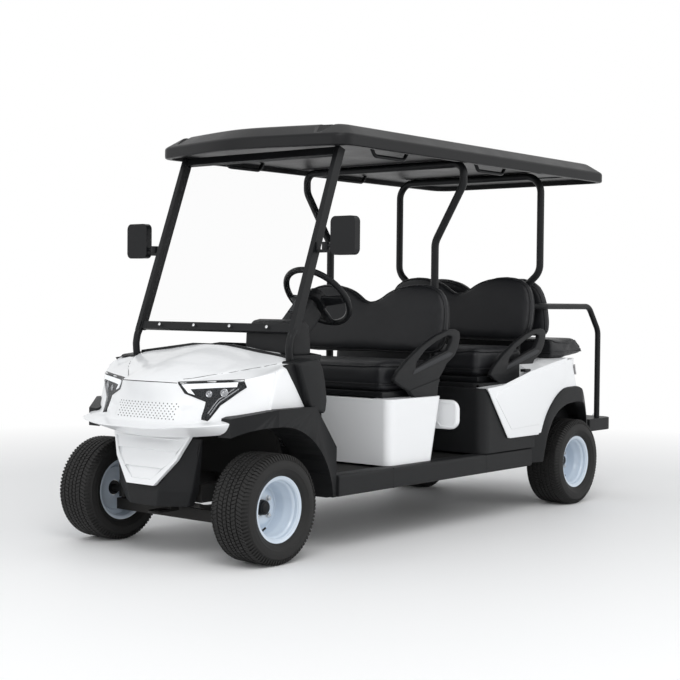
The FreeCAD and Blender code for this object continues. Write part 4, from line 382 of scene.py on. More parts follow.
class Finish(Enum):
    """Every finish on the cart."""

    WHITE_PANEL = Gloss("white_panel")
    # Wheel white darkened and tinted blue-grey: painted shade and sky reflection of the dish over the wheel's
    # own white paint.
    RIM_SHADED_WHITE = Gloss("rim_white_with_painted_shade", (0.60, 0.68, 0.77), (0.57, 0.65, 0.74), 0.3, 0.5)
    POWDER_COAT = Moulded("powder_coat", (0.0075, 0.008, 0.0088), (0.012, 0.0125, 0.0135), 0.36, 1500.0,
                          0.0002)
    CHASSIS = Moulded("chassis_paint", (0.012, 0.012, 0.0125), (0.032, 0.031, 0.029), 0.5, 300.0, 0.0005)
    TRIM = Moulded("grained_plastic")
    ROOF_SHELL = Moulded("roof_plastic", (0.008, 0.0082, 0.009), (0.013, 0.0132, 0.014), 0.4, 600.0, 0.0002)
    SMOOTH_BLACK = Moulded("smooth_plastic", (0.0075, 0.008, 0.009), (0.0115, 0.012, 0.013), 0.3, 1200.0,
                           0.0001)
    # Dark seam lines; on the cowl their darkness is painted shade in the panel gaps and painted shadow under
    # the hood lip.
    SEAM = Moulded("dark_seam_and_gap_shade", (0.02, 0.02, 0.021), (0.03, 0.03, 0.031), 0.6, 800.0, 0.0001)
    # Grey for the column pad and the armrest ledges: painted highlight on those faces.
    HIGHLIGHT_GREY = Moulded("painted_highlight_grey", (0.03, 0.031, 0.034), (0.042, 0.043, 0.046), 0.5)
    MAT = Moulded("floor_mat", (0.012, 0.012, 0.012), (0.02, 0.0195, 0.019), 0.7, 500.0, 0.0008)
    VINYL = Vinyl("seat_vinyl")
    PIPING = Vinyl("seat_piping", (0.01, 0.0105, 0.012), (0.017, 0.0175, 0.019), 0.4)
    RUBBER = Rubber("tyre_rubber")
    STEEL = Metal("bright_steel")
    MIRROR = Metal("mirror_glass", (0.85, 0.87, 0.88), 0.03)
    REFLECTOR = Metal("lamp_reflector", (0.42, 0.43, 0.45), 0.18)
    PANE = Clear("clear_pane")
    LENS = Clear("lamp_cover", (0.1, 0.11, 0.12), 0.08, 0.02)
    LIGHT_GUIDE = Glow("light_guide")
    TAIL = Gloss("tail_lens", (0.30, 0.295, 0.30), (0.22, 0.215, 0.22), 0.12, 0.8)
    # Near-black for the perforation discs: painted shade standing in for the shadowed inside of each hole.
    HOLE_SHADE = Moulded("painted_hole_shade", (0.004, 0.004, 0.004), (0.006, 0.006, 0.006), 0.8)

    def material(self) -> bpy.types.Material:
        """Gives the finish's material, built at its first use."""
        return bpy.data.materials.get("finish_" + self.value.name) or self.value.make()


# Modelling steps

class Bench:
    """Modelling steps shared by the sub-assemblies."""

    @staticmethod
    def clear() -> None:
        """Deselects every object."""
        for item in list(bpy.context.selected_objects):
            item.select_set(False)

    @staticmethod
    def pick(piece: Piece) -> None:
        """Selects one piece and makes it active."""
        Bench.clear()
        piece.select_set(True)
        bpy.context.view_layer.objects.active = piece

    @staticmethod
    def add(name: str, data: bpy.types.ID) -> Piece:
        """Puts an object into the scene.

        Args:
            name: the object's name.
            data: its mesh, curve, lamp or camera.

        Returns:
            The object.
        """
        piece = bpy.data.objects.new(name, data)
        bpy.context.scene.collection.objects.link(piece)
        return piece

    @staticmethod
    @contextmanager
    def editing(piece: Piece) -> Iterator[None]:
        """Opens a piece in edit mode, all of it selected."""
        Bench.pick(piece)
        bpy.ops.object.mode_set(mode="EDIT")
        bpy.ops.mesh.select_all(action="SELECT")
        yield
        bpy.ops.object.mode_set(mode="OBJECT")

    @staticmethod
    def settle(piece: Piece, name: str) -> Piece:
        """Names a piece and puts its place into its mesh.

        Args:
            piece: the object.
            name: its new name.

        Returns:
            The same object.
        """
        Bench.pick(piece)
        piece.name = name
        bpy.ops.object.transform_apply(location=True, rotation=True, scale=True)
        return piece

    @staticmethod
    def apply(piece: Piece) -> None:
        """Applies every modifier."""
        Bench.pick(piece)
        for modifier in list(piece.modifiers):
            bpy.ops.object.modifier_apply(modifier=modifier.name)

    @staticmethod
    def modify(piece: Piece, kind: str, **settings: object) -> None:
        """Adds a modifier and applies it.

        Args:
            piece: the object.
            kind: the modifier's type.
            **settings: its values by name.
        """
        modifier = piece.modifiers.new(kind.lower(), kind)
        for key, value in settings.items():
            setattr(modifier, key, value)
        Bench.apply(piece)

    @staticmethod
    def trim(piece: Piece, place: Vector, way: Vector) -> None:
        """Cuts off what lies beyond a plane and closes the opening.

        Args:
            piece: the object.
            place: a point of the plane.
            way: direction towards what is cut off.
        """
        with Bench.editing(piece):
            bpy.ops.mesh.bisect(plane_co=place, plane_no=way, use_fill=True, clear_outer=True)

    @staticmethod
    def grid(rows: int, size: int, closed: bool = False) -> list:
        """Lists the faces between rows of points.

        Args:
            rows: number of rows.
            size: points in each row.
            closed: joins each row's last point to its first.

        Returns:
            Loops of places in the points.
        """
        return [(a * size + b, a * size + (b + 1) % size, (a + 1) * size + (b + 1) % size, (a + 1) * size + b)
                for a in range(rows - 1) for b in range(size if closed else size - 1)]

    @staticmethod
    def divide(points: list, step: float = 0.012) -> list:
        """Divides a closed line into short pieces.

        Args:
            points: the line's corners.
            step: length of a piece.

        Returns:
            The finer line.
        """
        found = []
        for a, b in zip(points, points[1:] + points[:1]):
            count = max(1, round((b - a).length / step))
            found += [a.lerp(b, n / count) for n in range(count)]
        return found

    @staticmethod
    def outward(piece: Piece, gap: float = MERGE) -> None:
        """Merges doubles and turns the faces outwards.

        Args:
            piece: the object.
            gap: distance within which points merge.
        """
        with Bench.editing(piece):
            bpy.ops.mesh.remove_doubles(threshold=gap)
            bpy.ops.mesh.normals_make_consistent(inside=False)

    @staticmethod
    def shade(piece: Piece, degrees: float = 35) -> None:
        """Shades a piece smooth up to an angle."""
        Bench.pick(piece)
        bpy.ops.object.shade_smooth_by_angle(angle=math.radians(degrees))

    @staticmethod
    def soften(piece: Piece, width: float, segments: int = 3, degrees: float = 32) -> None:
        """Rounds a piece's edges.

        Args:
            piece: the object.
            width: width of the rounding.
            segments: faces across it.
            degrees: least angle of an edge that is rounded.
        """
        Bench.modify(piece, "BEVEL", width=width, segments=segments, limit_method="ANGLE",
                     angle_limit=math.radians(degrees))

    @staticmethod
    def box(name: str, low: tuple, high: tuple, edge: float = 0.002, segments: int = 3) -> Piece:
        """Makes a block with rounded edges.

        Args:
            name: the piece's name.
            low: lowest corner.
            high: highest corner.
            edge: width of the rounding.
            segments: faces across the rounding.

        Returns:
            The block.
        """
        a, b = Vector(low), Vector(high)
        Bench.clear()
        bpy.ops.mesh.primitive_cube_add(size=1, location=(a + b) / 2, scale=b - a)
        piece = Bench.settle(bpy.context.active_object, name)
        with Bench.editing(piece):
            bpy.ops.mesh.bevel(offset=edge, segments=segments)
        Bench.shade(piece)
        return piece

    @staticmethod
    def mesh(name: str, points: list, edges: list = (), faces: list = ()) -> Piece:
        """Makes a mesh object from points.

        Args:
            name: the piece's name.
            points: its vertices.
            edges: pairs of places in the points.
            faces: loops of places in the points.

        Returns:
            The object.
        """
        data = bpy.data.meshes.new(name)
        data.from_pydata([tuple(p) for p in points], list(edges), list(faces))
        return Bench.add(name, data)

    @staticmethod
    def lathe(name: str, profile: list, centre: Vector, axis: Vector, steps: int = 64,
              degrees: float = 35) -> Piece:
        """Spins a profile round an axis.

        Args:
            name: the piece's name.
            profile: pairs of radius and place along the axis, from end to end.
            centre: a point on the axis.
            axis: direction of the axis.
            steps: faces round the turn.
            degrees: greatest angle that is shaded smooth.

        Returns:
            The turned piece.
        """
        along = Vector(axis).normalized()
        out = along.orthogonal().normalized()
        points = [centre + out * r + along * h for r, h in profile]
        piece = Bench.mesh(name, points, [(i, i + 1) for i in range(len(points) - 1)])
        with Bench.editing(piece):
            bpy.ops.mesh.spin(steps=steps, angle=math.tau, center=centre, axis=along)
        Bench.outward(piece)
        Bench.shade(piece, degrees)
        return piece

    @staticmethod
    def round_path(points: list, bend: float, steps: int = 6) -> list:
        """Rounds the corners of a path.

        Args:
            points: the path's corners.
            bend: radius of each bend.
            steps: pieces in each bend.

        Returns:
            The finer path.
        """
        path = [Vector(points[0])]
        for i in range(1, len(points) - 1):
            here, back, on = Vector(points[i]), Vector(points[i - 1]), Vector(points[i + 1])
            a, b = (back - here), (on - here)
            turn = a.angle(b)
            reach = min(bend / math.tan(turn / 2), a.length / 2, b.length / 2)
            start, end = here + a.normalized() * reach, here + b.normalized() * reach
            for k in range(steps + 1):
                t = k / steps
                path.append(start.lerp(here, t).lerp(here.lerp(end, t), t))
        path.append(Vector(points[-1]))
        return path

    @staticmethod
    def from_curve(name: str, curve: bpy.types.Curve) -> Piece:
        """Turns a curve into a mesh.

        Args:
            name: the piece's name.
            curve: the curve.

        Returns:
            The mesh object.
        """
        Bench.pick(Bench.add(name, curve))
        bpy.ops.object.convert(target="MESH")
        piece = bpy.context.active_object
        piece.name = name
        return piece

    @staticmethod
    def tube(name: str, points: list, radius: float, bend: float = 0.0, sides: int = 4,
             closed: bool = False) -> Piece:
        """Makes a round bar along a path.

        Args:
            name: the piece's name.
            points: the path's corners.
            radius: radius of the bar.
            bend: radius of the bends.
            sides: fineness round the bar.
            closed: joins the last point to the first.

        Returns:
            The bar.
        """
        path = Bench.round_path(points, bend) if bend else [Vector(p) for p in points]
        curve = bpy.data.curves.new(name, "CURVE")
        curve.dimensions = "3D"
        spline = curve.splines.new("POLY")
        spline.points.add(len(path) - 1)
        for point, place in zip(spline.points, path):
            point.co = (*place, 1)
        spline.use_cyclic_u = closed
        curve.bevel_depth = radius
        curve.bevel_resolution = sides
        curve.use_fill_caps = not closed
        piece = Bench.from_curve(name, curve)
        Bench.outward(piece)
        Bench.shade(piece)
        return piece

    @staticmethod
    def plate(name: str, outline: list, depth: tuple, edge: float = 0.002, segments: int = 3) -> Piece:
        """Extrudes a flat outline and rounds its edges.

        Args:
            name: the piece's name.
            outline: corners of the outline, in one plane.
            depth: vector from this face to the other.
            edge: width of the rounding.
            segments: faces across the rounding.

        Returns:
            The plate.
        """
        piece = Bench.mesh(name, outline, (), [tuple(range(len(outline)))])
        with Bench.editing(piece):
            bpy.ops.mesh.extrude_region_move(TRANSFORM_OT_translate={"value": depth})
        Bench.outward(piece)
        if edge:
            Bench.soften(piece, edge, segments)
        Bench.shade(piece)
        return piece

    @staticmethod
    def ring(points: list, bend: float, steps: int = 4) -> list:
        """Rounds every corner of a closed outline.

        Args:
            points: the outline's corners.
            bend: radius of each bend.
            steps: pieces in each bend.

        Returns:
            The finer outline.
        """
        corners = [Vector(p) for p in points]
        return Bench.round_path(corners + corners[:2], bend, steps)[1:-1]

    @staticmethod
    def panel(name: str, loops: list, low: float, high: float, edge: float = 0.003) -> Piece:
        """Makes an upright panel with openings from outlines seen from the side.

        Args:
            name: the panel's name.
            loops: outlines (x, z), the outer one first.
            low: y of its inner face.
            high: y of its outer face.
            edge: width of the rounding.

        Returns:
            The panel.
        """
        curve = bpy.data.curves.new(name, "CURVE")
        curve.dimensions = "2D"
        curve.fill_mode = "BOTH"
        for loop in loops:
            spline = curve.splines.new("POLY")
            spline.points.add(len(loop) - 1)
            for point, place in zip(spline.points, loop):
                point.co = (place[0], place[1], 0, 1)
            spline.use_cyclic_u = True
        curve.extrude = (high - low) / 2 - edge
        curve.bevel_depth = edge
        curve.bevel_resolution = 3
        curve.offset = -edge
        piece = Bench.from_curve(name, curve)
        upright = Matrix.Rotation(math.pi / 2, 4, "X")
        piece.data.transform(Matrix.Translation((0, (low + high) / 2, 0)) @ upright)
        Bench.outward(piece)
        Bench.shade(piece)
        return piece

    @staticmethod
    def sheet(name: str, rows: list, wall: float) -> Piece:
        """Makes a thin sheet through rows of points.

        Args:
            name: the sheet's name.
            rows: lists of points of one length.
            wall: its thickness.

        Returns:
            The sheet.
        """
        faces = Bench.grid(len(rows), len(rows[0]))
        piece = Bench.mesh(name, [p for row in rows for p in row], (), faces)
        Bench.outward(piece)
        Bench.modify(piece, "SOLIDIFY", thickness=wall, offset=-1)
        Bench.shade(piece)
        return piece

    @staticmethod
    def both(piece: Piece) -> Piece:
        """Joins a left-hand piece with its mirror image.

        Args:
            piece: the left-hand piece.

        Returns:
            The pair.
        """
        other = Bench.copy(piece, piece.name + "_r", Matrix.Diagonal((1, -1, 1, 1)))
        return Bench.join(piece.name, [piece, other])

    @staticmethod
    def join(name: str, pieces: list) -> Piece:
        """Joins pieces into one.

        Args:
            name: name of the whole.
            pieces: the objects.

        Returns:
            The joined object.
        """
        Bench.clear()
        for piece in pieces:
            piece.select_set(True)
        bpy.context.view_layer.objects.active = pieces[0]
        bpy.ops.object.join()
        whole = bpy.context.active_object
        whole.name = name
        return whole

    @staticmethod
    def copy(piece: Piece, name: str, move: Matrix) -> Piece:
        """Copies a piece with its own mesh and moves the copy.

        Args:
            piece: the object.
            name: the copy's name.
            move: matrix on the mesh.

        Returns:
            The copy.
        """
        other = piece.copy()
        other.data = piece.data.copy()
        other.data.transform(move)
        if move.determinant() < 0:
            other.data.flip_normals()
        other.name = name
        bpy.context.scene.collection.objects.link(other)
        return other

    @staticmethod
    def node_copy(node: str, name: str) -> Piece:
        """Copies a CAD node, with its doubles merged.

        Args:
            node: the node's name.
            name: the copy's name.

        Returns:
            The copy.
        """
        source = frame["nodes"][node]
        piece = Bench.add(name, source.data.copy())
        piece.data.materials.clear()
        with Bench.editing(piece):
            bpy.ops.mesh.remove_doubles(threshold=MERGE)
        return piece

    @staticmethod
    def even(piece: Piece, degrees: float = 30) -> None:
        """Shades a piece smooth, with normals that follow its larger faces.

        Args:
            piece: the object.
            degrees: greatest angle that is shaded smooth.
        """
        Bench.shade(piece, degrees)
        Bench.modify(piece, "WEIGHTED_NORMAL", weight=80, keep_sharp=True)

    @staticmethod
    def soft_copy(node: str, name: str, edge: float, segments: int = 2) -> Piece:
        """Copies a CAD node with its flat faces whole and its edges rounded.

        Args:
            node: the node's name.
            name: the copy's name.
            edge: width of the rounding, 0 for none.
            segments: faces across the rounding.

        Returns:
            The copy.
        """
        piece = Bench.node_copy(node, name)
        if edge:
            Bench.flatten(piece)
            Bench.soften(piece, edge, segments, 28)
        Bench.even(piece)
        return piece

    @staticmethod
    def cut(piece: Piece, tool: Piece) -> None:
        """Takes a tool's volume out of a piece.

        Args:
            piece: the object.
            tool: the volume, removed afterwards.
        """
        Bench.modify(piece, "BOOLEAN", operation="DIFFERENCE", solver="EXACT", object=tool)
        bpy.data.objects.remove(tool)

    @staticmethod
    def flatten(piece: Piece) -> None:
        """Joins the triangles of each flat face."""
        with Bench.editing(piece):
            bpy.ops.mesh.dissolve_limited(angle_limit=math.radians(0.6))


def keep(piece: Piece, finish: Finish, body: str = "root",
         stands_for: tuple = ()) -> Piece:
    """Dresses a piece and ties it to its body.

    Args:
        piece: the finished object.
        finish: its finish.
        body: the body it rides on.
        stands_for: CAD nodes that it replaces.

    Returns:
        The same object.
    """
    piece.data.materials.clear()
    piece.data.materials.append(finish.material())
    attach(piece, body)
    if stands_for:
        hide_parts(*stands_for)
    LOG.info("%s: %d faces on %s", piece.name, len(piece.data.polygons), body)
    return piece


def stand_in(piece: Piece, finish: Finish, node: str) -> Piece:
    """Dresses a piece that takes a CAD node's place, body and slot.

    Args:
        piece: the finished object.
        finish: its finish.
        node: the CAD node.

    Returns:
        The same object.
    """
    return keep(piece, finish, NODE_BODY[node], (node,))


# Studio

@dataclass
class Studio:
    """Camera at the photograph's angle, soft lamps and a pale floor."""

    camera_place: tuple = (5.5569, 4.3143, 1.0834)
    yaw: float = 219.209
    pitch: float = -1.588
    roll: float = 0.536
    lens: float = 73.43
    floor_half: float = 40.0
    fade_start: float = 2.6
    fade_end: float = 5.5

    def aim(self) -> None:
        """Makes the camera."""
        data = bpy.data.cameras.new("camera")
        data.sensor_width = 36
        data.lens = self.lens
        data.clip_end = 200
        camera = Bench.add("camera", data)
        yaw, pitch, roll = (math.radians(a) for a in (self.yaw, self.pitch, self.roll))
        ahead = Vector((math.cos(pitch) * math.cos(yaw), math.cos(pitch) * math.sin(yaw), math.sin(pitch)))
        right = ahead.cross(UP).normalized()
        up = right.cross(ahead)
        across = right * math.cos(roll) + up * math.sin(roll)
        above = up * math.cos(roll) - right * math.sin(roll)
        turn = Matrix((across, above, -ahead)).transposed().to_4x4()
        camera.matrix_world = Matrix.Translation(self.camera_place) @ turn
        bpy.context.scene.camera = camera

    def lamp(self, name: str, place: tuple, target: tuple, size: float, power: float) -> None:
        """Adds a soft square lamp.

        Args:
            name: the lamp's name.
            place: where it stands.
            target: what it points at.
            size: length of its side.
            power: its power in watts.
        """
        data = bpy.data.lights.new(name, "AREA")
        data.shape = "SQUARE"
        data.size = size
        data.energy = power
        lamp = Bench.add(name, data)
        lamp.location = place
        lamp.rotation_euler = (Vector(target) - Vector(place)).to_track_quat("-Z", "Y").to_euler()

    def sky(self) -> None:
        """Lights the object evenly and shows white behind it."""
        world = bpy.data.worlds.new("studio")
        bpy.context.scene.world = world
        tree = Tree(world, "World")
        seen = tree.add("Background", Color=(1, 1, 1, 1), Strength=1.0)
        lit = tree.add("Background", Color=(0.97, 0.985, 1, 1), Strength=0.68)
        tree.blend(tree.watched(), lit.outputs["Background"], seen.outputs["Background"])

    def floor(self) -> None:
        """Lays a pale floor that fades to white far from the cart."""
        Bench.clear()
        bpy.ops.mesh.primitive_plane_add(size=2 * self.floor_half, location=(0, 0, 0))
        floor = bpy.context.active_object
        floor.name = "floor"
        tree = Tree(bpy.data.materials.new("finish_pale_floor"), "Material")
        where = tree.add("TexCoord")
        length = tree.add("VectorMath")
        length.operation = "LENGTH"
        tree.link(where.outputs["Object"], length.inputs[0])
        fade = tree.add("MapRange", From_Min=self.fade_start, From_Max=self.fade_end)
        tree.link(length.outputs["Value"], fade.inputs["Value"])
        seen = tree.maths("MULTIPLY", fade.outputs["Result"], tree.watched())
        matt = tree.add("BsdfPrincipled", Base_Color=(0.93, 0.93, 0.93, 1), Roughness=0.6)
        white = tree.add("Emission", Strength=1.0)
        tree.blend(seen, matt.outputs["BSDF"], white.outputs["Emission"])
        floor.data.materials.append(tree.owner)

    def build(self) -> None:
        """Sets up the studio."""
        bpy.context.scene.view_settings.view_transform = "Standard"
        self.aim()
        self.sky()
        self.floor()
        self.lamp("key_lamp", (4.2, 3.8, 5.5), (0, 0, 0.6), 4.0, 185)
        self.lamp("side_lamp", (-2.5, 6.5, 2.5), (0, 0, 0.7), 4.0, 70)
        self.lamp("front_lamp", (7.0, -1.5, 2.2), (0.5, 0, 0.6), 3.5, 45)


# Carried-over structure

@dataclass
class Structure:
    """Rigid pieces whose shape comes straight from the frame."""

    def plan(self) -> dict:
        """Names the finish and edge rounding of each carried-over node.

        Returns:
            Pairs of finish and rounding by node.
        """
        black, white, coat, chassis = Finish.TRIM, Finish.WHITE_PANEL, Finish.POWDER_COAT, Finish.CHASSIS
        return {
            "chassis_frame": (chassis, 0.002), "rear_frame": (chassis, 0.002), "front_axle": (chassis, 0.001),
            "rear_axle": (chassis, 0.001), "knuckle_left": (chassis, 0), "knuckle_right": (chassis, 0),
            "tie_rod": (chassis, 0), "floor_pan": (Finish.MAT, 0.002), "sills": (black, 0.008),
            "front_seat_box": (white, 0.004), "mid_seat_box": (black, 0.004), "battery_pack": (black, 0.004),
            "seat_box_guards": (white, 0.004), "mid_roof_frame": (coat, 0), "rear_roof_frame": (coat, 0),
            "windshield": (Finish.PANE, 0), "front_undertray": (black, 0.004),
            "front_fenders": (black, 0.004), "rear_body": (white, 0.004), "footrest": (black, 0.004),
                "grab_bars": (coat, 0),
            "tail_lamps": (Finish.TAIL, 0.003), "steering_column": (black, 0.001),
                "pedals": (Finish.STEEL, 0.001),
            "mirror_left": (Finish.SMOOTH_BLACK, 0.002), "mirror_right": (Finish.SMOOTH_BLACK, 0.002),
            "mirror_clamps": (coat, 0.001),
        }

    def build(self) -> None:
        """Copies and dresses the nodes."""
        for node, (finish, edge) in self.plan().items():
            piece = Bench.soft_copy(node, node + "_skin", edge)
            stand_in(piece, finish, node)


# Front body

def smooth(t: float) -> float:
    """Eases a factor between 0 and 1."""
    t = min(max(t, 0.0), 1.0)
    return t * t * (3 - 2 * t)


def hermite(t: float, ends: tuple, slopes: tuple) -> object:
    """Finds a value or point on a smooth curve between two ends.

    Args:
        t: share of the way, 0 to 1.
        ends: values at the two ends.
        slopes: slopes at the two ends.

    Returns:
        The value or point.
    """
    t2, t3 = t * t, t * t * t
    return ((2 * t3 - 3 * t2 + 1) * ends[0] + (t3 - 2 * t2 + t) * slopes[0] + (3 * t2 - 2 * t3) * ends[1]
            + (t3 - t2) * slopes[1])


@dataclass
class Cowl:
    """White hood, bumper and shoulders with their creases, seams, perforations and lamps."""

    rear: float = 1.116
    length: float = 0.564
    bottom: float = 0.508
    height: float = 0.381
    half_width: float = 0.520
    cuts: tuple = (8, 8, 10, 14, 22, 20)
    reaches: tuple = (0.010, 0.014, 0.030, 0.008, 0.14)
    side_round: float = 0.014
    wall: float = 0.0035
    press: float = 0.0048
    press_fade: float = 0.06
    scoop_depth: float = 0.010
    stations: tuple = (
        (0.000, ((0.04, 0.35), (0.78, 0.00), (1.00, 0.13), (0.80, 0.17),
                 (0.78, 0.39), (0.89, 0.63), (0.49, 0.84), (0.11, 1.00))),
        (0.231, ((0.04, 0.35), (0.77, 0.01), (1.00, 0.13), (0.80, 0.17),
                 (0.77, 0.39), (0.80, 0.62), (0.45, 0.83), (0.07, 0.99))),
        (0.385, ((0.04, 0.35), (0.74, 0.02), (0.99, 0.14), (0.79, 0.17),
                 (0.73, 0.39), (0.71, 0.61), (0.41, 0.81), (0.03, 0.98))),
        (0.538, ((0.04, 0.35), (0.70, 0.04), (0.95, 0.16), (0.74, 0.19),
                 (0.67, 0.39), (0.64, 0.63), (0.37, 0.80), (0.01, 0.96))),
        (0.673, ((0.04, 0.35), (0.67, 0.06), (0.87, 0.17), (0.67, 0.22),
                 (0.61, 0.40), (0.59, 0.64), (0.34, 0.78), (0.02, 0.94))),
        (0.788, ((0.04, 0.35), (0.64, 0.08), (0.72, 0.19), (0.60, 0.24),
                 (0.55, 0.42), (0.54, 0.65), (0.32, 0.77), (0.06, 0.90))),
        (0.885, ((0.04, 0.34), (0.56, 0.13), (0.58, 0.22), (0.52, 0.26),
                 (0.48, 0.44), (0.45, 0.69), (0.30, 0.76), (0.12, 0.85))),
        (0.962, ((0.03, 0.33), (0.46, 0.24), (0.47, 0.28), (0.44, 0.31),
                 (0.41, 0.48), (0.35, 0.73), (0.29, 0.78), (0.20, 0.81))),
        (1.000, ((0.03, 0.32), (0.38, 0.33), (0.39, 0.35), (0.38, 0.37),
                 (0.36, 0.52), (0.32, 0.76), (0.30, 0.78), (0.29, 0.80))),
    )
    crease: tuple = (
        (1.509, 0.169), (1.482, 0.196), (1.432, 0.252), (1.372, 0.318), (1.300, 0.385), (1.232, 0.438),
        (1.171, 0.474),
    )
    scoop: tuple = (
        (0.186, 0.640), (0.280, 0.652), (0.284, 0.606), (0.318, 0.588), (0.366, 0.586), (0.300, 0.580),
        (0.196, 0.580),
    )
    lamp: tuple = (
        (0.169, 0.741), (0.420, 0.757), (0.432, 0.725), (0.345, 0.655), (0.318, 0.592), (0.292, 0.597),
        (0.290, 0.668), (0.200, 0.700),
    )

    def corners(self, share: float) -> list:
        """Finds the section's corners between two stations.

        Args:
            share: place across the cowl as a share of the half width.

        Returns:
            Corners from the rear foot round to the rear seam.
        """
        mirrored = [(-s, p) for s, p in reversed(self.stations[1:])] + list(self.stations)
        i = max(k for k in range(len(mirrored) - 1) if mirrored[k][0] <= share or k == 0)
        (s0, a), (s1, b) = mirrored[i], mirrored[i + 1]
        before, after = mirrored[max(i - 1, 0)], mirrored[min(i + 2, len(mirrored) - 1)]
        t = (share - s0) / (s1 - s0)
        found = []
        for k in range(len(a)):
            pair = []
            for axis in (0, 1):
                v0, v1 = a[k][axis], b[k][axis]
                m0 = (v1 - before[1][k][axis]) / (s1 - before[0]) * (s1 - s0)
                m1 = (after[1][k][axis] - v0) / (after[0] - s0) * (s1 - s0)
                pair.append(hermite(t, (v0, v1), (m0, m1)))
            found.append(Vector((self.rear + pair[0] * self.length, share * self.half_width,
                                 self.bottom + pair[1] * self.height)))
        return found

    def section(self, share: float) -> list:
        """Rounds and divides the skin's part of a section.

        Args:
            share: place across the cowl as a share of the half width.

        Returns:
            Points from the bumper's lower edge to the rear seam.
        """
        c = self.corners(share)[1:]
        ends = [(c[0], c[0])]
        for k in range(1, len(c) - 1):
            back, on = c[k - 1] - c[k], c[k + 1] - c[k]
            reach = min(self.reaches[k - 1], back.length * 0.42, on.length * 0.42)
            ends.append((c[k] + back.normalized() * reach, c[k] + on.normalized() * reach))
        ends.append((c[-1], c[-1]))
        points = []
        for k in range(len(c) - 1):
            start, stop = ends[k][1], ends[k + 1][0]
            points += [start.lerp(stop, n / self.cuts[k]) for n in range(self.cuts[k] + (k == len(c) - 2))]
            if k < len(c) - 2:
                turn = [stop.lerp(c[k + 1], n / 4).lerp(c[k + 1].lerp(ends[k + 1][1], n / 4), n / 4)
                        for n in range(4)]
                points += turn
        return points

    def past(self, point: Vector) -> tuple:
        """Measures a place against the shoulder crease in plan.

        Args:
            point: a point of the skin.

        Returns:
            Distance outboard of the crease, and whether the place is beside it.
        """
        spot = Vector((point.x, abs(point.y)))
        best, side, inside = 9.0, 1.0, False
        for a, b in zip(self.crease, self.crease[1:]):
            a, b = Vector(a), Vector(b)
            near, t = intersect_point_line(spot, a, b)
            t = min(max(t, 0), 1)
            near = a.lerp(b, t)
            far = (spot - near).length
            if far < best:
                best = far
                way = b - a
                side = 1.0 if way.x * (spot.y - a.y) - way.y * (spot.x - a.x) < 0 else -1.0
                inside = spot.x > self.crease[-1][0] and spot.x < self.crease[0][0] + 0.01
        return best * side, inside

    def within(self, point: Vector, outline: tuple) -> float:
        """Measures how deep a place lies inside an outline seen from the front.

        Args:
            point: a point of the skin.
            outline: corners (y, z) on the left side.

        Returns:
            Distance inside the outline, negative outside it.
        """
        spot = Vector((abs(point.y), point.z))
        best, crossed = 9.0, False
        for a, b in zip(outline, outline[1:] + outline[:1]):
            a, b = Vector(a), Vector(b)
            t = intersect_point_line(spot, a, b)[1]
            best = min(best, (spot - a.lerp(b, min(max(t, 0), 1))).length)
            if (a.y > spot.y) != (b.y > spot.y) and spot.x < (b.x - a.x) * (spot.y - a.y) / (b.y - a.y) + a.x:
                crossed = not crossed
        return best if crossed else -best

    def relief(self, point: Vector) -> float:
        """Gives how far the skin is pressed in at a place.

        Args:
            point: a point of the skin.

        Returns:
            Depth in metres.
        """
        depth = 0.0
        if point.z > 0.70:
            far, inside = self.past(point)
            if inside:
                fade = smooth((point.z - 0.715) / 0.03) * smooth((point.x - self.crease[-1][0]) / 0.05)
                press = self.press * smooth(far / 0.007 + 0.5)
                depth += press * math.exp(-max(far, 0) / self.press_fade) * fade
        if 0.56 < point.z < 0.67:
            depth += self.scoop_depth * smooth(self.within(point, self.scoop) / 0.02 + 0.15)
        return depth

    def skin(self) -> Piece:
        """Builds the outer skin with its rounded side panels.

        Returns:
            The open skin.
        """
        shares = [math.sin(math.pi / 2 * n / 66) for n in range(-66, 67)]
        flat = self.side_round / self.half_width
        shares = [s * (1 - flat) for s in shares]
        columns = [self.section(s) for s in shares]
        rim = self.corners(1.0)
        middle = sum(rim, Vector()) / len(rim)
        ring = [[Vector(p) for p in columns[-1]]]
        for n in range(1, 6):
            turn = math.pi / 2 * n / 5
            shrink = 1 - 0.012 * (1 - math.cos(turn)) / 0.08
            y = self.half_width - self.side_round * (1 - math.sin(turn))
            ring.append([Vector((middle.x + (p.x - middle.x) * shrink, y, middle.z
                                 + (p.z - middle.z) * shrink))
                         for p in columns[-1]])
        left = [[Vector((p.x, -p.y, p.z)) for p in column] for column in reversed(ring[1:])]
        columns = left + columns + ring[1:]
        rows = len(columns[0])
        points = [p for column in columns for p in column]
        faces = Bench.grid(len(columns), rows)
        for column, way in ((0, 1), (len(columns) - 1, -1)):
            foot = self.corners(1.0)[0]
            y = columns[column][0].y
            points.append(Vector((foot.x, y, foot.z)))
            faces.append(tuple(list(range(column * rows, column * rows + rows))[::way] + [len(points) - 1]))
        piece = Bench.mesh("cowl_skin", points, (), faces)
        Bench.outward(piece, 0.0002)
        if piece.data.polygons[len(piece.data.polygons) // 2].normal.x < 0:
            piece.data.flip_normals()
        for vertex in piece.data.vertices:
            press = self.relief(vertex.co)
            if press:
                vertex.co -= vertex.normal * press
        return piece

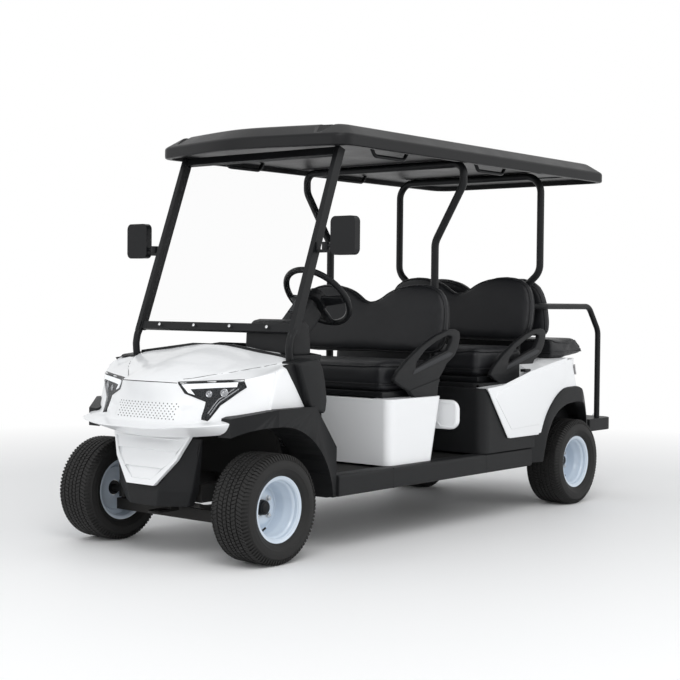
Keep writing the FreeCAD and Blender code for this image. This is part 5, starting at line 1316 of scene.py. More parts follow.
    def patch(self, name: str, outline: list, lift: float, body: float = 0.002, cell: float = 0.007) -> Piece:
        """Lays a thin piece on the skin inside an outline seen from the front.

        Args:
            name: the piece's name.
            outline: corners (y, z).
            lift: height of its face over the skin.
            body: its thickness.
            cell: spacing of its points.

        Returns:
            The piece.
        """
        rim = Bench.divide([Vector(p) for p in outline], cell)
        low = [min(p[k] for p in rim) for k in (0, 1)]
        high = [max(p[k] for p in rim) for k in (0, 1)]
        inner = []
        for i in range(int((high[0] - low[0]) / cell) + 1):
            for j in range(int((high[1] - low[1]) / cell) + 1):
                spot = Vector((low[0] + (i + j % 2 / 2) * cell, low[1] + j * cell))
                if self.within(Vector((0, spot.x, spot.y)), tuple(outline)) > cell * 0.45:
                    inner.append(spot)
        edges = [(n, (n + 1) % len(rim)) for n in range(len(rim))]
        spots, _, faces, _, _, _ = delaunay_2d_cdt(rim + inner, edges, [], 1, 0.00001)
        points = []
        for spot in spots:
            place, normal = self.on_skin(spot.x, spot.y)
            points.append(place + normal * lift)
        piece = Bench.mesh(name, points, (), faces)
        Bench.outward(piece)
        if sum(f.normal.x * f.area for f in piece.data.polygons) < 0:
            piece.data.flip_normals()
        Bench.modify(piece, "SOLIDIFY", thickness=body, offset=-1)
        Bench.shade(piece, 50)
        return piece

    def on_skin(self, y: float, z: float) -> tuple:
        """Finds the skin's place and direction seen from the front.

        Args:
            y: place across the cart.
            z: height.

        Returns:
            The point and the outward normal.
        """
        place, normal, _, _ = self.tree.ray_cast(Vector((3, y, z)), Vector((-1, 0, 0)))
        return place, normal if normal.x > 0 else -normal

    def strip(self, path: list, width: float) -> list:
        """Widens a line seen from the front to a band.

        Args:
            path: points (y, z).
            width: width of the band.

        Returns:
            The band's outline.
        """
        one, two = [], []
        for i, point in enumerate(path):
            here = Vector(point)
            way = Vector(path[min(i + 1, len(path) - 1)]) - Vector(path[max(i - 1, 0)])
            across = Vector((-way.y, way.x)).normalized() * width / 2
            one.append(tuple(here + across))
            two.append(tuple(here - across))
        return one + two[::-1]

    def lamps(self) -> None:
        """Fits housings, light bars, chevrons, projectors and clear covers."""
        grown = [(y + (0.003 if y > 0.3 else -0.003), z + (0.003 if z > 0.7 else -0.003)) for y,
                 z in self.lamp]
        keep(Bench.both(self.patch("headlamp_housing", grown, 0.0016)), Finish.SMOOTH_BLACK)
        bar = [(0.183, 0.7335), (0.406, 0.7485), (0.403, 0.729), (0.219, 0.7155), (0.240, 0.692),
               (0.212, 0.700)]
        keep(Bench.both(self.patch("headlamp_bar", bar, 0.0042, 0.003)), Finish.LIGHT_GUIDE)
        marks = [self.patch("mark", self.strip(line, 0.0042), 0.0036) for line in (
            [(0.411, 0.722), (0.344, 0.668), (0.333, 0.650), (0.320, 0.612)],
            [(0.394, 0.722), (0.337, 0.676), (0.324, 0.655), (0.311, 0.618)])]
        keep(Bench.both(Bench.join("headlamp_chevrons", marks)), Finish.REFLECTOR)
        eyes = []
        for y, z, size in ((0.356, 0.704, 0.017), (0.296, 0.697, 0.014)):
            place, normal = self.on_skin(y, z)
            ring = [(size * 0.55, 0.0), (size * 0.62, 0.0022), (size * 0.9, 0.0038), (size, 0.003),
                    (size, 0.0)]
            eyes.append(Bench.lathe("eye", ring, place, normal, 28))
            dome = [(0.0, 0.0042), (size * 0.3, 0.0038), (size * 0.56, 0.0022), (size * 0.56, 0.0)]
            eyes.append(Bench.lathe("dome", dome, place, normal, 28))
        keep(Bench.both(Bench.join("headlamp_eyes", eyes)), Finish.REFLECTOR)
        cover = self.patch("headlamp_cover", list(self.lamp), 0.0056, 0.0012)
        stand_in(Bench.both(cover), Finish.LENS, "headlamps")

    def holes(self) -> None:
        """Sets the staggered perforations across the lower face as flat near-black discs, painted shade for
        the dark insides of the holes.
        """
        holes = []
        profile = [(0.0, 0.0004), (0.0027, 0.0004), (0.0031, -0.0004)]
        for row in range(7):
            z = 0.590 + row * 0.0105
            half = 0.168 + row * 0.003
            count = int(half / 0.0105)
            for n in range(-count, count + 1):
                y = (n + (row % 2) / 2) * 0.021
                if abs(y) > half:
                    continue
                place, normal = self.on_skin(y, z)
                holes.append(Bench.lathe("hole", profile, place, normal, 8))
        keep(Bench.join("cowl_perforations", holes), Finish.HOLE_SHADE)

    def seams(self) -> None:
        """Draws the hood's lip line and the lines along the shoulder creases: dark tubes at the real seams,
        whose darkness is painted shade in the gaps and painted shadow under the hood lip.
        """
        lip = []
        for n in range(-24, 25):
            corner = self.corners(n / 24 * 0.166 / self.half_width)[5]
            # Tucked just behind and below the lip, this dark line paints the shadow under the overhang.
            lip.append(corner + Vector((-0.0022, 0, -0.0022)))
        lines = [Bench.tube("lip_shade_line", lip, 0.0017, 0, 2)]
        for side in (1, -1):
            path = []
            line = Bench.round_path([Vector((a, b, 0)) for a, b in self.crease], 0.05, 5)
            for spot in line:
                place = self.tree.ray_cast(Vector((spot.x - 0.004, side * spot.y, 2)), Vector((0, 0, -1)))[0]
                if place is not None:
                    path.append(place + Vector((0, 0, 0.0006)))
            lines.append(Bench.tube("crease_gap_shade_line", path, 0.0009, 0, 2))
        keep(Bench.join("cowl_seam_shade_lines", lines), Finish.SEAM)

    def shield(self) -> Piece:
        """Takes the lower shield out of the frame's copy and rounds its edges.

        Returns:
            The shield.
        """
        piece = Bench.node_copy("front_cowl", "lower_shield")
        with Bench.editing(piece):
            bpy.ops.mesh.separate(type="LOOSE")
        parts = sorted(bpy.context.selected_objects, key=lambda o: min(v.co.z for v in o.data.vertices))
        for other in parts[1:]:
            bpy.data.objects.remove(other)
        Bench.flatten(parts[0])
        Bench.soften(parts[0], 0.003, 3, 12)
        Bench.even(parts[0])
        return parts[0]

    def build(self) -> None:
        """Builds the front body."""
        skin = self.skin()
        self.tree = BVHTree.FromObject(skin, bpy.context.evaluated_depsgraph_get())
        self.lamps()
        self.holes()
        self.seams()
        Bench.modify(skin, "SOLIDIFY", thickness=self.wall, offset=-1)
        Bench.shade(skin, 40)
        stand_in(Bench.join("front_body", [skin, self.shield()]), Finish.WHITE_PANEL, "front_cowl")


# Roof, cabin and rear body

@dataclass
class Roof:
    """Tray roof with drain gutters along its sides and handles below it."""

    gutter: tuple = ((0.366, 1.90), (0.424, 1.816), (0.440, 1.816), (0.498, 1.90))
    rear: float = -1.378
    front: float = 0.961
    half: float = 0.570
    bow: float = 0.095
    corner: float = 0.090
    levels: tuple = (
        (0.026, 1.779), (0.026, 1.757), (0.024, 1.755), (0.006, 1.755), (0.0015, 1.758), (0.0, 1.764),
        (0.0, 1.796), (0.002, 1.804), (0.009, 1.811), (0.060, 1.848), (0.069, 1.8535), (0.080, 1.857),
        (0.138, 1.857), (0.141, 1.858), (0.146, 1.8645), (0.149, 1.866),
    )
    handles: tuple = ((0.62, 0.34), (-0.22, -0.50))
    handle_side: float = 0.455
    handle_low: float = 1.742
    ribs: tuple = (0.90, 0.0, -1.12)
    underside: float = 1.783

    def ring(self, inset: float, z: float) -> list:
        """Traces the roof's outline at one level.

        Args:
            inset: distance in from the outer edge.
            z: height of the level.

        Returns:
            The points, round once.
        """
        bend = max(self.corner - inset / 3, self.corner / 3)
        wide, back, nose = self.half - inset, self.rear + inset, self.front - inset
        half = [(back, 0.0)]
        for middle, start, stop in ((back + bend, 180, 90), (nose - bend + 0.004, 90, 15)):
            for k in range(9):
                turn = math.radians(start + (stop - start) * k / 8)
                half.append((middle + bend * math.cos(turn), wide - bend + bend * math.sin(turn)))
        x_end, y_end = half[-1]
        rise, round_off = self.front + self.bow - inset - x_end, 0.3
        steep = rise / (math.hypot(1, round_off) - round_off)
        for k in range(1, 13):
            share = 1 - k / 12
            half.append((x_end + rise - steep * (math.hypot(share, round_off) - round_off), y_end * share))
        return [(x, y, z) for x, y in half] + [(x, -y, z) for x, y in half[-2:0:-1]]

    def tray(self) -> Piece:
        """Lofts the roof from its levels, with a hollow below its rim.

        Returns:
            The roof.
        """
        rings = [self.ring(*level) for level in self.levels]
        size = len(rings[0])
        faces = Bench.grid(len(rings), size, True)
        faces += [tuple(range(size))[::-1], tuple(range((len(rings) - 1) * size, len(rings) * size))]
        tray = Bench.mesh("roof_shell", [p for ring in rings for p in ring], (), faces)
        Bench.outward(tray)
        return tray

    def build(self) -> None:
        """Cuts the gutters and adds the handles and ribs."""
        roof = self.tray()
        for side in (1, -1):
            outline = [Vector((-1.6, side * y, z)) for y, z in self.gutter]
            Bench.cut(roof, Bench.plate("gutter", outline, (2.9, 0, 0), 0))
        Bench.even(roof, 34)
        stand_in(roof, Finish.ROOF_SHELL, "roof")
        bars = []
        top, low = self.underside, self.handle_low
        for front, rear in self.handles:
            for side in (1, -1):
                y = side * self.handle_side
                path = [(front, y, top), (front - 0.03, y, low), (rear + 0.03, y, low), (rear, y, top)]
                bars.append(Bench.tube("handle", path, 0.009, 0.03))
        for x in self.ribs:
            bars.append(Bench.tube("rib", [(x, -0.49, top), (x, 0.49, top)], 0.010, 0, 3))
        keep(Bench.join("roof_handles", bars), Finish.POWDER_COAT)


@dataclass
class Screen:
    """Screen frame on curved feet that run down into the hood."""

    waist: float = 0.942
    place: float = 0.470
    radius: float = 0.0165
    foot: tuple = ((1.154, 0.965), (1.176, 0.925), (1.184, 0.885), (1.181, 0.846), (1.168, 0.795))

    def build(self) -> None:
        """Cuts the frame's straight feet off and fits the curved ones."""
        frame = Bench.node_copy("windshield_frame", "screen_posts")
        Bench.trim(frame, Vector((0, 0, self.waist)), Vector((0, 0, -1)))
        Bench.flatten(frame)
        Bench.soften(frame, 0.003, 2)
        Bench.even(frame)
        foot = Bench.tube("foot", [(x, self.place, z) for x, z in self.foot], self.radius, 0.06)
        whole = Bench.join("screen_frame", [frame, Bench.both(foot)])
        stand_in(whole, Finish.POWDER_COAT, "windshield_frame")


@dataclass
class Helm:
    """Steering wheel with broad spokes and a hub pad, above a shrouded column."""

    centre: tuple = (0.799, 0.300, 1.105)
    axis: tuple = (-0.731354, 0.0, 0.681998)
    spokes: tuple = (4, 176, 90)

    def place(self, u: float, v: float, w: float) -> Vector:
        """Places a point of the wheel's own frame.

        Args:
            u: distance across the cart.
            v: distance down the wheel's face.
            w: distance along the column towards the driver.

        Returns:
            The point.
        """
        along = Vector(self.axis)
        return Vector(self.centre) + Vector((0, 1, 0)) * u + along.cross(Vector((0, 1, 0))) * v + along * w

    def build(self) -> None:
        """Dresses the rim and adds spokes, hub pad and shroud, with a grey pad on the shroud's top that
        paints its highlight.
        """
        along = Vector(self.axis)
        parts = [Bench.node_copy("steering_wheel", "steering_rim")]
        Bench.even(parts[0])
        hub = [(0.0, -0.010), (0.040, -0.011), (0.053, -0.016), (0.058, -0.026), (0.056, -0.046),
               (0.0, -0.048)]
        parts.append(Bench.lathe("hub", hub, Vector(self.centre), along, 40))
        for degrees in self.spokes:
            turn = math.radians(degrees)
            out, across = (math.cos(turn), math.sin(turn)), (-math.sin(turn), math.cos(turn))
            corners = [(0.040, -0.030, -0.020), (0.152, -0.017, -0.003), (0.152, 0.017, -0.003),
                       (0.040, 0.030, -0.020)]
            outline = [self.place(out[0] * r + across[0] * s, out[1] * r + across[1] * s, w) for r, s,
                       w in corners]
            parts.append(Bench.plate("spoke", outline, tuple(along * -0.014), 0.005))
        whole = Bench.join("steering_wheel_full", parts)
        stand_in(whole, Finish.SMOOTH_BLACK, "steering_wheel")
        square = ((-0.052, -0.058), (0.052, -0.058), (0.052, 0.052), (-0.052, 0.052))
        front = [self.place(u, v, -0.070) for u, v in square]
        shroud = Bench.plate("column_shroud", front, tuple(along * -0.17), 0.018, 4)
        keep(shroud, Finish.TRIM)
        # Grey pad on the shroud's top face: a painted highlight where the light falls.
        square = ((-0.034, -0.088), (0.034, -0.088), (0.034, -0.165), (-0.034, -0.165))
        pad = [self.place(u, -0.056, w) for u, w in square]
        lift = self.place(0, -0.008, 0) - self.place(0, 0, 0)
        keep(Bench.plate("column_highlight_pad", pad, tuple(lift), 0.003), Finish.HIGHLIGHT_GREY)


@dataclass
class Fittings:
    """Screws, sill seams, inner panels and the raised rims of the seat box guards."""

    screen_foot: tuple = (1.171, 0.905)
    rake: float = 20.3
    glass: tuple = (0.576, 0.690, 1.290, 1.434)
    glass_place: float = 1.0006

    def screws(self) -> Piece:
        """Sets screws in the screen's crossbar and at the feet of the grab bars."""
        turn = math.radians(self.rake)
        out = Vector((math.cos(turn), 0, math.sin(turn)))
        middle = Vector((self.screen_foot[0] - math.tan(turn) * 0.06, 0, 0.965)) + out * 0.0232
        head = [(0.0, 0.0030), (0.0042, 0.0028), (0.0068, 0.0015), (0.0075, 0.0), (0.0, 0.0)]
        across = (-0.33, -0.11, 0.11, 0.33)
        screws = [Bench.lathe("screw", head, middle + Vector((0, y, 0)), out, 16) for y in across]
        for side in (1, -1):
            screws.append(Bench.lathe("screw", head, Vector((-1.470, side * 0.4465, 0.455)),
                                      Vector((0, side, 0)), 16))
        return Bench.join("frame_screws", screws)

    def mirrors(self) -> None:
        """Sets a glass in the driver's side of each mirror head."""
        low, high, bottom, top = self.glass
        ring = Bench.ring([(low, bottom, 0), (high, bottom, 0), (high, top, 0), (low, top, 0)], 0.019)
        for side, name in ((1, "left"), (-1, "right")):
            outline = [Vector((self.glass_place, side * p.x, p.y)) for p in ring]
            glass = Bench.plate("mirror_glass_" + name, outline, (-0.0016, 0, 0), 0.0004, 1)
            keep(glass, Finish.MIRROR, "mirror_" + name)

    def build(self) -> None:
        """Builds the fittings."""
        keep(self.screws(), Finish.STEEL)
        self.mirrors()
        lines = []
        for x in (0.580, -0.180):
            low, high = x - 0.0015, x + 0.0015
            lines.append(Bench.box("line", (low, 0.560, 0.2475), (high, 0.5757, 0.3385), 0.0004, 1))
            lines.append(Bench.box("line", (low, 0.508, 0.3385), (high, 0.566, 0.3406), 0.0004, 1))
        keep(Bench.both(Bench.join("sill_seams", lines)), Finish.SEAM)
        panel = Bench.box("bulkhead", (0.984, 0.150, 0.335), (0.990, 0.486, 0.660), 0.002)
        keep(Bench.both(panel), Finish.TRIM)
        rim = Bench.panel("guard_rims", [Bench.ring([(a, b, 0) for a, b in shape], bend) for shape, bend in (
            (((0.449, 0.530), (0.449, 0.615), (0.591, 0.615), (0.591, 0.483), (0.500, 0.483)), 0.030),
            (((0.461, 0.534), (0.461, 0.603), (0.579, 0.603), (0.579, 0.495), (0.505, 0.495)), 0.020))],
                          0.113, 0.1185,
            0.002)
        rim.data.transform(Matrix(((0, 1, 0, 0), (1, 0, 0, 0), (0, 0, 1, 0), (0, 0, 0, 1))))
        rim.data.flip_normals()
        keep(Bench.both(rim), Finish.WHITE_PANEL)


# Dash and rear body

@dataclass
class Dash:
    """Dash box with its binnacle, on leaning legs beside the cowl."""

    leg: tuple = (
        (1.216, 0.829), (1.132, 0.632), (1.036, 0.604), (1.026, 0.664), (1.038, 0.742), (1.055, 0.800),
        (1.081, 0.842),
    )
    recess: tuple = ((1.264, 0.818), (1.126, 0.628), (1.040, 0.628), (1.100, 0.834))
    pod: tuple = (
        (1.136, 0.840), (1.130, 0.950), (1.090, 0.998), (1.045, 1.006), (1.010, 0.980), (0.998, 0.900),
        (0.998, 0.840),
    )
    trim_place: float = 0.470
    trim_top: float = 0.893
    level: float = 0.12
    fall: float = 7.0

    def build(self) -> None:
        """Cuts the frame's blocky ends off the dash and fits shaped legs."""
        box = Bench.node_copy("dashboard", "dash")
        across, up = math.sin(math.radians(self.fall)), math.cos(math.radians(self.fall))
        slant = self.level * across + self.trim_top * up
        for way, reach in ((Vector((0, 1, 0)), self.trim_place), (Vector((0, -1, 0)), self.trim_place),
                           (UP, self.trim_top), (Vector((0, across, up)), slant),
                           (Vector((0, -across, up)), slant)):
            Bench.trim(box, way * reach, way)
        Bench.flatten(box)
        Bench.soften(box, 0.006, 3, 28)
        Bench.even(box)
        leg = Bench.panel("dash_legs", [Bench.ring([(x, z, 0) for x, z in self.leg], 0.02)], 0.440, 0.553,
                          0.010)
        recess = Bench.panel("dash_recess", [self.recess], 0.505, 0.5225, 0.002)
        pod = Bench.panel("pod", [Bench.ring([(x, z, 0) for x, z in self.pod], 0.03)], 0.165, 0.440, 0.020)
        whole = Bench.join("dash", [box, Bench.both(leg), Bench.both(recess), pod])
        stand_in(whole, Finish.TRIM, "dashboard")


@dataclass
class Armrest:
    """Moulded hip plates beside a bench, each with a loop and a pale slanted ledge, a painted highlight along
    the lower bar's bevel.
    """

    node: str
    shift: tuple
    outline: tuple = (
        (0.516, 0.725), (0.480, 0.768), (0.402, 0.822), (0.298, 0.880), (0.192, 0.924), (0.097, 0.950),
        (0.030, 0.956), (-0.008, 0.944), (-0.014, 0.916), (0.002, 0.865), (0.030, 0.829), (0.070, 0.806),
        (0.098, 0.790), (0.118, 0.764), (0.155, 0.726), (0.172, 0.695), (0.178, 0.6445), (0.360, 0.6445),
        (0.406, 0.676), (0.470, 0.703),
    )
    loop: tuple = (
        (0.352, 0.776), (0.343, 0.804), (0.272, 0.860), (0.178, 0.901), (0.090, 0.926), (0.052, 0.921),
        (0.058, 0.892), (0.090, 0.856), (0.217, 0.820),
    )
    ledge: tuple = (
        (0.378, 0.746), (0.360, 0.770), (0.217, 0.812), (0.088, 0.846), (0.046, 0.842), (0.074, 0.824),
        (0.163, 0.802),
    )

    def build(self) -> None:
        """Builds both sides of a row."""
        dx, dz = self.shift
        shapes = (self.outline, self.loop, self.ledge)
        outer, loop, ledge = [[(x + dx, z + dz, 0) for x, z in shape] for shape in shapes]
        plate = Bench.panel("plate", [Bench.ring(outer, 0.014), Bench.ring(loop, 0.02)], 0.497, 0.5225, 0.006)
        sole = Bench.ring([(x, z - 0.002, 0) for x, z, _ in outer[14:19]], 0.01)
        foot = Bench.panel("foot", [sole], 0.4985, 0.527, 0.004)
        whole = Bench.both(Bench.join(self.node + "_shell", [plate, foot]))
        stand_in(whole, Finish.TRIM, self.node)
        # The pale ledge paints the highlight that falls on the lower bar's bevel.
        ledge = Bench.panel(self.node + "_highlight_strips", [Bench.ring(ledge, 0.006)], 0.515, 0.5262, 0.0042)
        keep(Bench.both(ledge), Finish.HIGHLIGHT_GREY, NODE_BODY[self.node])


@dataclass
class RearBody:
    """Wheel flares that melt into the sills, wells, quarter skins, black side shell and deck strips."""

    axle: tuple = (-1.060, 0.2295)
    arch: float = 0.348
    bands: tuple = (
        (-0.588, 0.262, -0.684, 0.262), (-0.588, 0.330, -0.700, 0.330), (-0.588, 0.417, -0.716, 0.385),
        (-0.640, 0.421, -0.728, 0.412), (-0.668, 0.440, -0.740, 0.432), (-0.690, 0.475, -0.756, 0.455),
        (-0.715, 0.510, -0.775, 0.479), (-0.745, 0.545, -0.800, 0.500), (-0.790, 0.585, -0.832, 0.520),
        (-0.832, 0.612, -0.862, 0.532), (-0.870, 0.630, -0.895, 0.542), (-0.905, 0.639, -0.925, 0.549),
        (-0.970, 0.641, -0.975, 0.554), (-1.030, 0.641, -1.030, 0.556), (-1.078, 0.628, -1.075, 0.553),
        (-1.130, 0.596, -1.118, 0.545), (-1.185, 0.548, -1.165, 0.522), (-1.240, 0.490, -1.215, 0.478),
        (-1.285, 0.440, -1.250, 0.435), (-1.310, 0.395, -1.272, 0.395),
    )
    section: tuple = (
        (0.0, -0.055), (0.0, -0.010), (0.035, -0.003), (0.10, -0.0004), (0.3, 0.0), (0.6, -0.0004),
        (0.86, -0.002), (0.95, -0.005), (1.0, -0.013), (1.0, -0.055),
    )
    quarter: tuple = (
        (-0.157, 0.664), (-0.301, 0.675), (-0.553, 0.735), (-0.800, 0.778), (-0.925, 0.795), (-0.925, 0.600),
        (-0.850, 0.590), (-0.780, 0.540), (-0.720, 0.480), (-0.680, 0.413), (-0.349, 0.408),
    )
    relief: tuple = (
        (-0.250, 0.641), (-0.553, 0.719), (-0.800, 0.760), (-0.900, 0.774), (-0.900, 0.672), (-0.855, 0.652),
        (-0.800, 0.620), (-0.742, 0.576), (-0.700, 0.528), (-0.668, 0.482), (-0.640, 0.458), (-0.374, 0.450),
        (-0.226, 0.616),
    )
    shell: tuple = ((-0.640, 0.579), (-0.140, 0.579), (-0.140, 0.0))
    shell_low: float = 0.342
    shell_high: float = 0.6615

    def outer(self, x: float) -> float:
        """Finds how far out the flare's face stands.

        Args:
            x: place along the cart.

        Returns:
            The y of the face.
        """
        return 0.602 - 0.42 * max(0.0, -1.075 - x) - 0.025 * smooth((x + 0.72) / 0.125)

    def flares(self) -> None:
        """Sweeps a crowned band round the wheel and lines the well behind it."""
        points = []
        for ox, oz, ix, iz in self.fine():
            for share, depth in self.section:
                x, z = ix + (ox - ix) * share, iz + (oz - iz) * share
                points.append((x, self.outer(x) + depth, z))
        size = len(self.section)
        rows = len(points) // size
        faces = Bench.grid(rows, size, True)
        faces += [tuple(range(size)), tuple(range((rows - 1) * size, rows * size))[::-1]]
        flare = Bench.mesh("flare", points, (), faces)
        Bench.outward(flare)
        Bench.even(flare, 38)
        turns = [math.radians(8 + 4.5 * n) for n in range(30)]
        path = [(self.axle[0] + self.arch * math.cos(t), self.axle[1] + self.arch * math.sin(t))
                for t in turns]
        path += [(-1.325, 0.420), (-1.335, 0.345)]
        strip = Bench.sheet("well", [[(x, 0.374, z), (x, self.outer(x) - 0.03, z)] for x, z in path], 0.004)
        foot = [(-1.335, 0.285), (-0.718, 0.285)]
        wall = Bench.plate("well_wall", [Vector((x, 0.372, z)) for x, z in path + foot], (0, 0.004, 0), 0)
        whole = Bench.both(Bench.join("rear_flares", [flare, strip, wall]))
        stand_in(whole, Finish.TRIM, "rear_fenders")

    def fine(self) -> list:
        """Divides the flare's stations smoothly.

        Returns:
            Outer and inner points of each station.
        """
        found = []
        rows = [Vector(b) for b in self.bands]
        for i in range(len(rows) - 1):
            before, after = rows[max(i - 1, 0)], rows[min(i + 2, len(rows) - 1)]
            for k in range(4):
                t = k / 4
                m0, m1 = (rows[i + 1] - before) / 2, (after - rows[i]) / 2
                found.append(hermite(t, (rows[i], rows[i + 1]), (m0, m1)))
        return found + [rows[-1]]

    def quarters(self) -> None:
        """Lays the white outer skins with their raised fields and the strips up to the deck."""
        skin = Bench.panel("skin", [self.quarter], 0.5832, 0.5905, 0.003)
        field = Bench.panel("field", [self.relief], 0.588, 0.5935, 0.0026)
        edge = [(-0.553, 0.5875, 0.7335), (-0.553, 0.4905, 0.7865)]
        middle = [(-0.800, 0.5875, 0.7765), (-0.800, 0.4905, 0.7872)]
        back = [(-0.930, 0.5875, 0.7945), (-0.940, 0.4905, 0.7880)]
        low = [(-0.553, 0.5875, 0.684), (-0.553, 0.4905, 0.684)]
        deck = Bench.sheet("deck", [edge, middle, back], 0.004)
        front = Bench.sheet("front", [edge, low], 0.004)
        keep(Bench.both(Bench.join("quarter_skins", [skin, field, deck, front])), Finish.WHITE_PANEL)
        latch = Bench.box("deck_latches", (-0.566, 0.553, 0.733), (-0.512, 0.584, 0.7475), 0.003)
        keep(Bench.both(latch), Finish.SMOOTH_BLACK)

    def side_shell(self) -> None:
        """Wraps the second seat box in a black shell with rounded corners."""
        half = [(x, y, 0) for x, y in self.shell]
        path = Bench.round_path(half, 0.062, 10)
        path += [Vector((p.x, -p.y, 0)) for p in reversed(path[:-1])]
        rows = [[(p.x, p.y, self.shell_low), (p.x, p.y, self.shell_high)] for p in path]
        wrap = Bench.sheet("wrap", rows, 0.004)
        top, low = self.shell_high, self.shell_high - 0.006
        ledges = [Bench.box("ledge", (-0.640, 0.512, low), (-0.200, 0.577, top), 0.002),
                  Bench.box("ledge", (-0.640, -0.577, low), (-0.200, -0.512, top), 0.002),
                  Bench.box("ledge", (-0.205, -0.530, top - 0.0062), (-0.143, 0.530, top), 0.002)]
        keep(Bench.join("side_shell", [wrap] + ledges), Finish.TRIM)

    def build(self) -> None:
        """Builds the rear body's shaped pieces."""
        self.flares()
        self.quarters()
        self.side_shell()


# Wheels

@dataclass
class Wheel:
    """Low tyre with a street tread on a deep white steel wheel."""

    end: str
    side: int
    radius: float = 0.2295
    half_width: float = 0.1025
    tread_half: float = 0.083
    groove: float = 0.0058
    seat: float = 0.127
    pitches: int = 86
    blocks: tuple = (
        (-0.066, 0.026, 0.4), (-0.036, 0.022, -0.35), (-0.0115, 0.017, 0.25), (0.0115, 0.017, -0.25),
        (0.036, 0.022, 0.35), (0.066, 0.026, -0.4),
    )

    def name(self, what: str) -> str:
        """Names a piece of this wheel."""
        return "%s_%s_%s" % (self.end, what, "left" if self.side > 0 else "right")

    def centre(self) -> Vector:
        """Finds the wheel's middle from the tyre's box."""
        low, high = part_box(self.name("tyre"))
        return (low + high) / 2

    def carcass(self) -> Piece:
        """Turns the tyre's body with rings on its walls.

        Returns:
            The tyre's body.
        """
        base = self.radius - self.groove
        wall = self.half_width
        right = [
            (self.seat + 0.001, 0.070), (0.137, 0.0775), (0.1385, 0.0835), (0.1415, 0.0865), (0.1445, 0.0868),
            (0.147, 0.0905), (0.158, 0.0975), (0.166, 0.1), (0.1668, 0.1012), (0.1695, 0.1018),
            (0.1703, 0.101), (0.18, wall - 0.0005), (0.19, wall - 0.0012), (0.1965, 0.0992), (0.1985, 0.0996),
            (0.2015, 0.0982), (0.203, 0.0962), (0.211, 0.0905), (base - 0.004, 0.0855), (base - 0.001, 0.079),
            (base, 0.06), (base, 0.0),
        ]
        section = right + [(r, -w) for r, w in reversed(right[:-1])]
        return Bench.lathe(self.name("carcass"), section + [section[0]], self.centre(), Vector((0, 1, 0)), 96,
                           50)

    def lug(self, across: float, width: float, skew: float, index: int) -> Piece:
        """Makes one tread block at the tyre's front.

        Args:
            across: place of its middle across the tread.
            width: its width across the tread.
            skew: slant of its sides, as a share.
            index: number of the block across the tread.

        Returns:
            The block.
        """
        step = math.tau * self.radius / self.pitches
        along = step * 0.41
        base, top = self.radius - self.groove - 0.001, self.radius
        points = []
        for height, shrink in ((base, 1.0), (top - 0.0012, 1.0), (top, 0.9)):
            for u, v in ((-1, -1), (1, -1), (1, 1), (-1, 1)):
                y = across + u * width / 2 * shrink
                drop = 0.0042 * (abs(y) / self.tread_half) ** 4
                turn = (v * along * shrink + skew * (y - across)) / self.radius
                turn += (index % 2) * step / 2 / self.radius
                points.append(((height - drop) * math.cos(turn), y, (height - drop) * math.sin(turn)))
        faces = [(8, 9, 10, 11), (3, 2, 1, 0)]
        for ring in (0, 4):
            faces += [(ring + k, ring + (k + 1) % 4, ring + 4 + (k + 1) % 4, ring + 4 + k) for k in range(4)]
        return Bench.mesh("lug", [self.centre() + Vector(p) for p in points], (), faces)

    def shoulder_bar(self, sign: int) -> Piece:
        """Makes one bar that runs from the tread's edge down the shoulder.

        Args:
            sign: 1 or -1, the side of the tyre.

        Returns:
            The bar.
        """
        step = math.tau * self.radius / self.pitches
        rows = ((0.2285, 0.076), (0.2278, 0.0835), (0.2235, 0.0885), (0.2155, 0.0925), (0.206, 0.0972))
        deep = 0.0042
        points = []
        for radius, y in rows:
            for back in (0.0, deep):
                for v in (-1, 1):
                    turn = v * step * 0.24 / self.radius + (y - 0.076) * 1.2
                    r = radius - back * (1 if radius > 0.22 else 0.4)
                    w = y - back * (0.3 if radius > 0.225 else 1.0)
                    points.append((r * math.cos(turn), sign * w, r * math.sin(turn)))
        faces = [(0, 1, 3, 2), (16, 18, 19, 17)]
        for i in range(4):
            a, b = i * 4, i * 4 + 4
            faces += [(a, a + 1, b + 1, b), (a + 1, a + 3, b + 3, b + 1), (a + 3, a + 2, b + 2, b + 3),
                      (a + 2, a, b, b + 2)]
        return Bench.mesh("bar", [self.centre() + Vector(p) for p in points], (), faces)

    def tyre(self) -> None:
        """Joins body and tread into the tyre."""
        one = [self.lug(a, w, k, i) for i, (a, w, k) in enumerate(self.blocks)]
        one += [self.shoulder_bar(1), self.shoulder_bar(-1)]
        pitch = Bench.join("pitch", one)
        Bench.outward(pitch)
        centre = self.centre()
        rows = [pitch]
        for i in range(1, self.pitches):
            turn = Matrix.Rotation(math.tau * i / self.pitches, 4, "Y")
            move = Matrix.Translation(centre) @ turn @ Matrix.Translation(-centre)
            rows.append(Bench.copy(pitch, "pitch_%d" % i, move))
        tread = Bench.join("tread", rows)
        Bench.shade(tread, 25)
        whole = Bench.join(self.name("tyre_rubber"), [self.carcass(), tread])
        keep(whole, Finish.RUBBER, self.name("wheel"), (self.name("tyre"),))

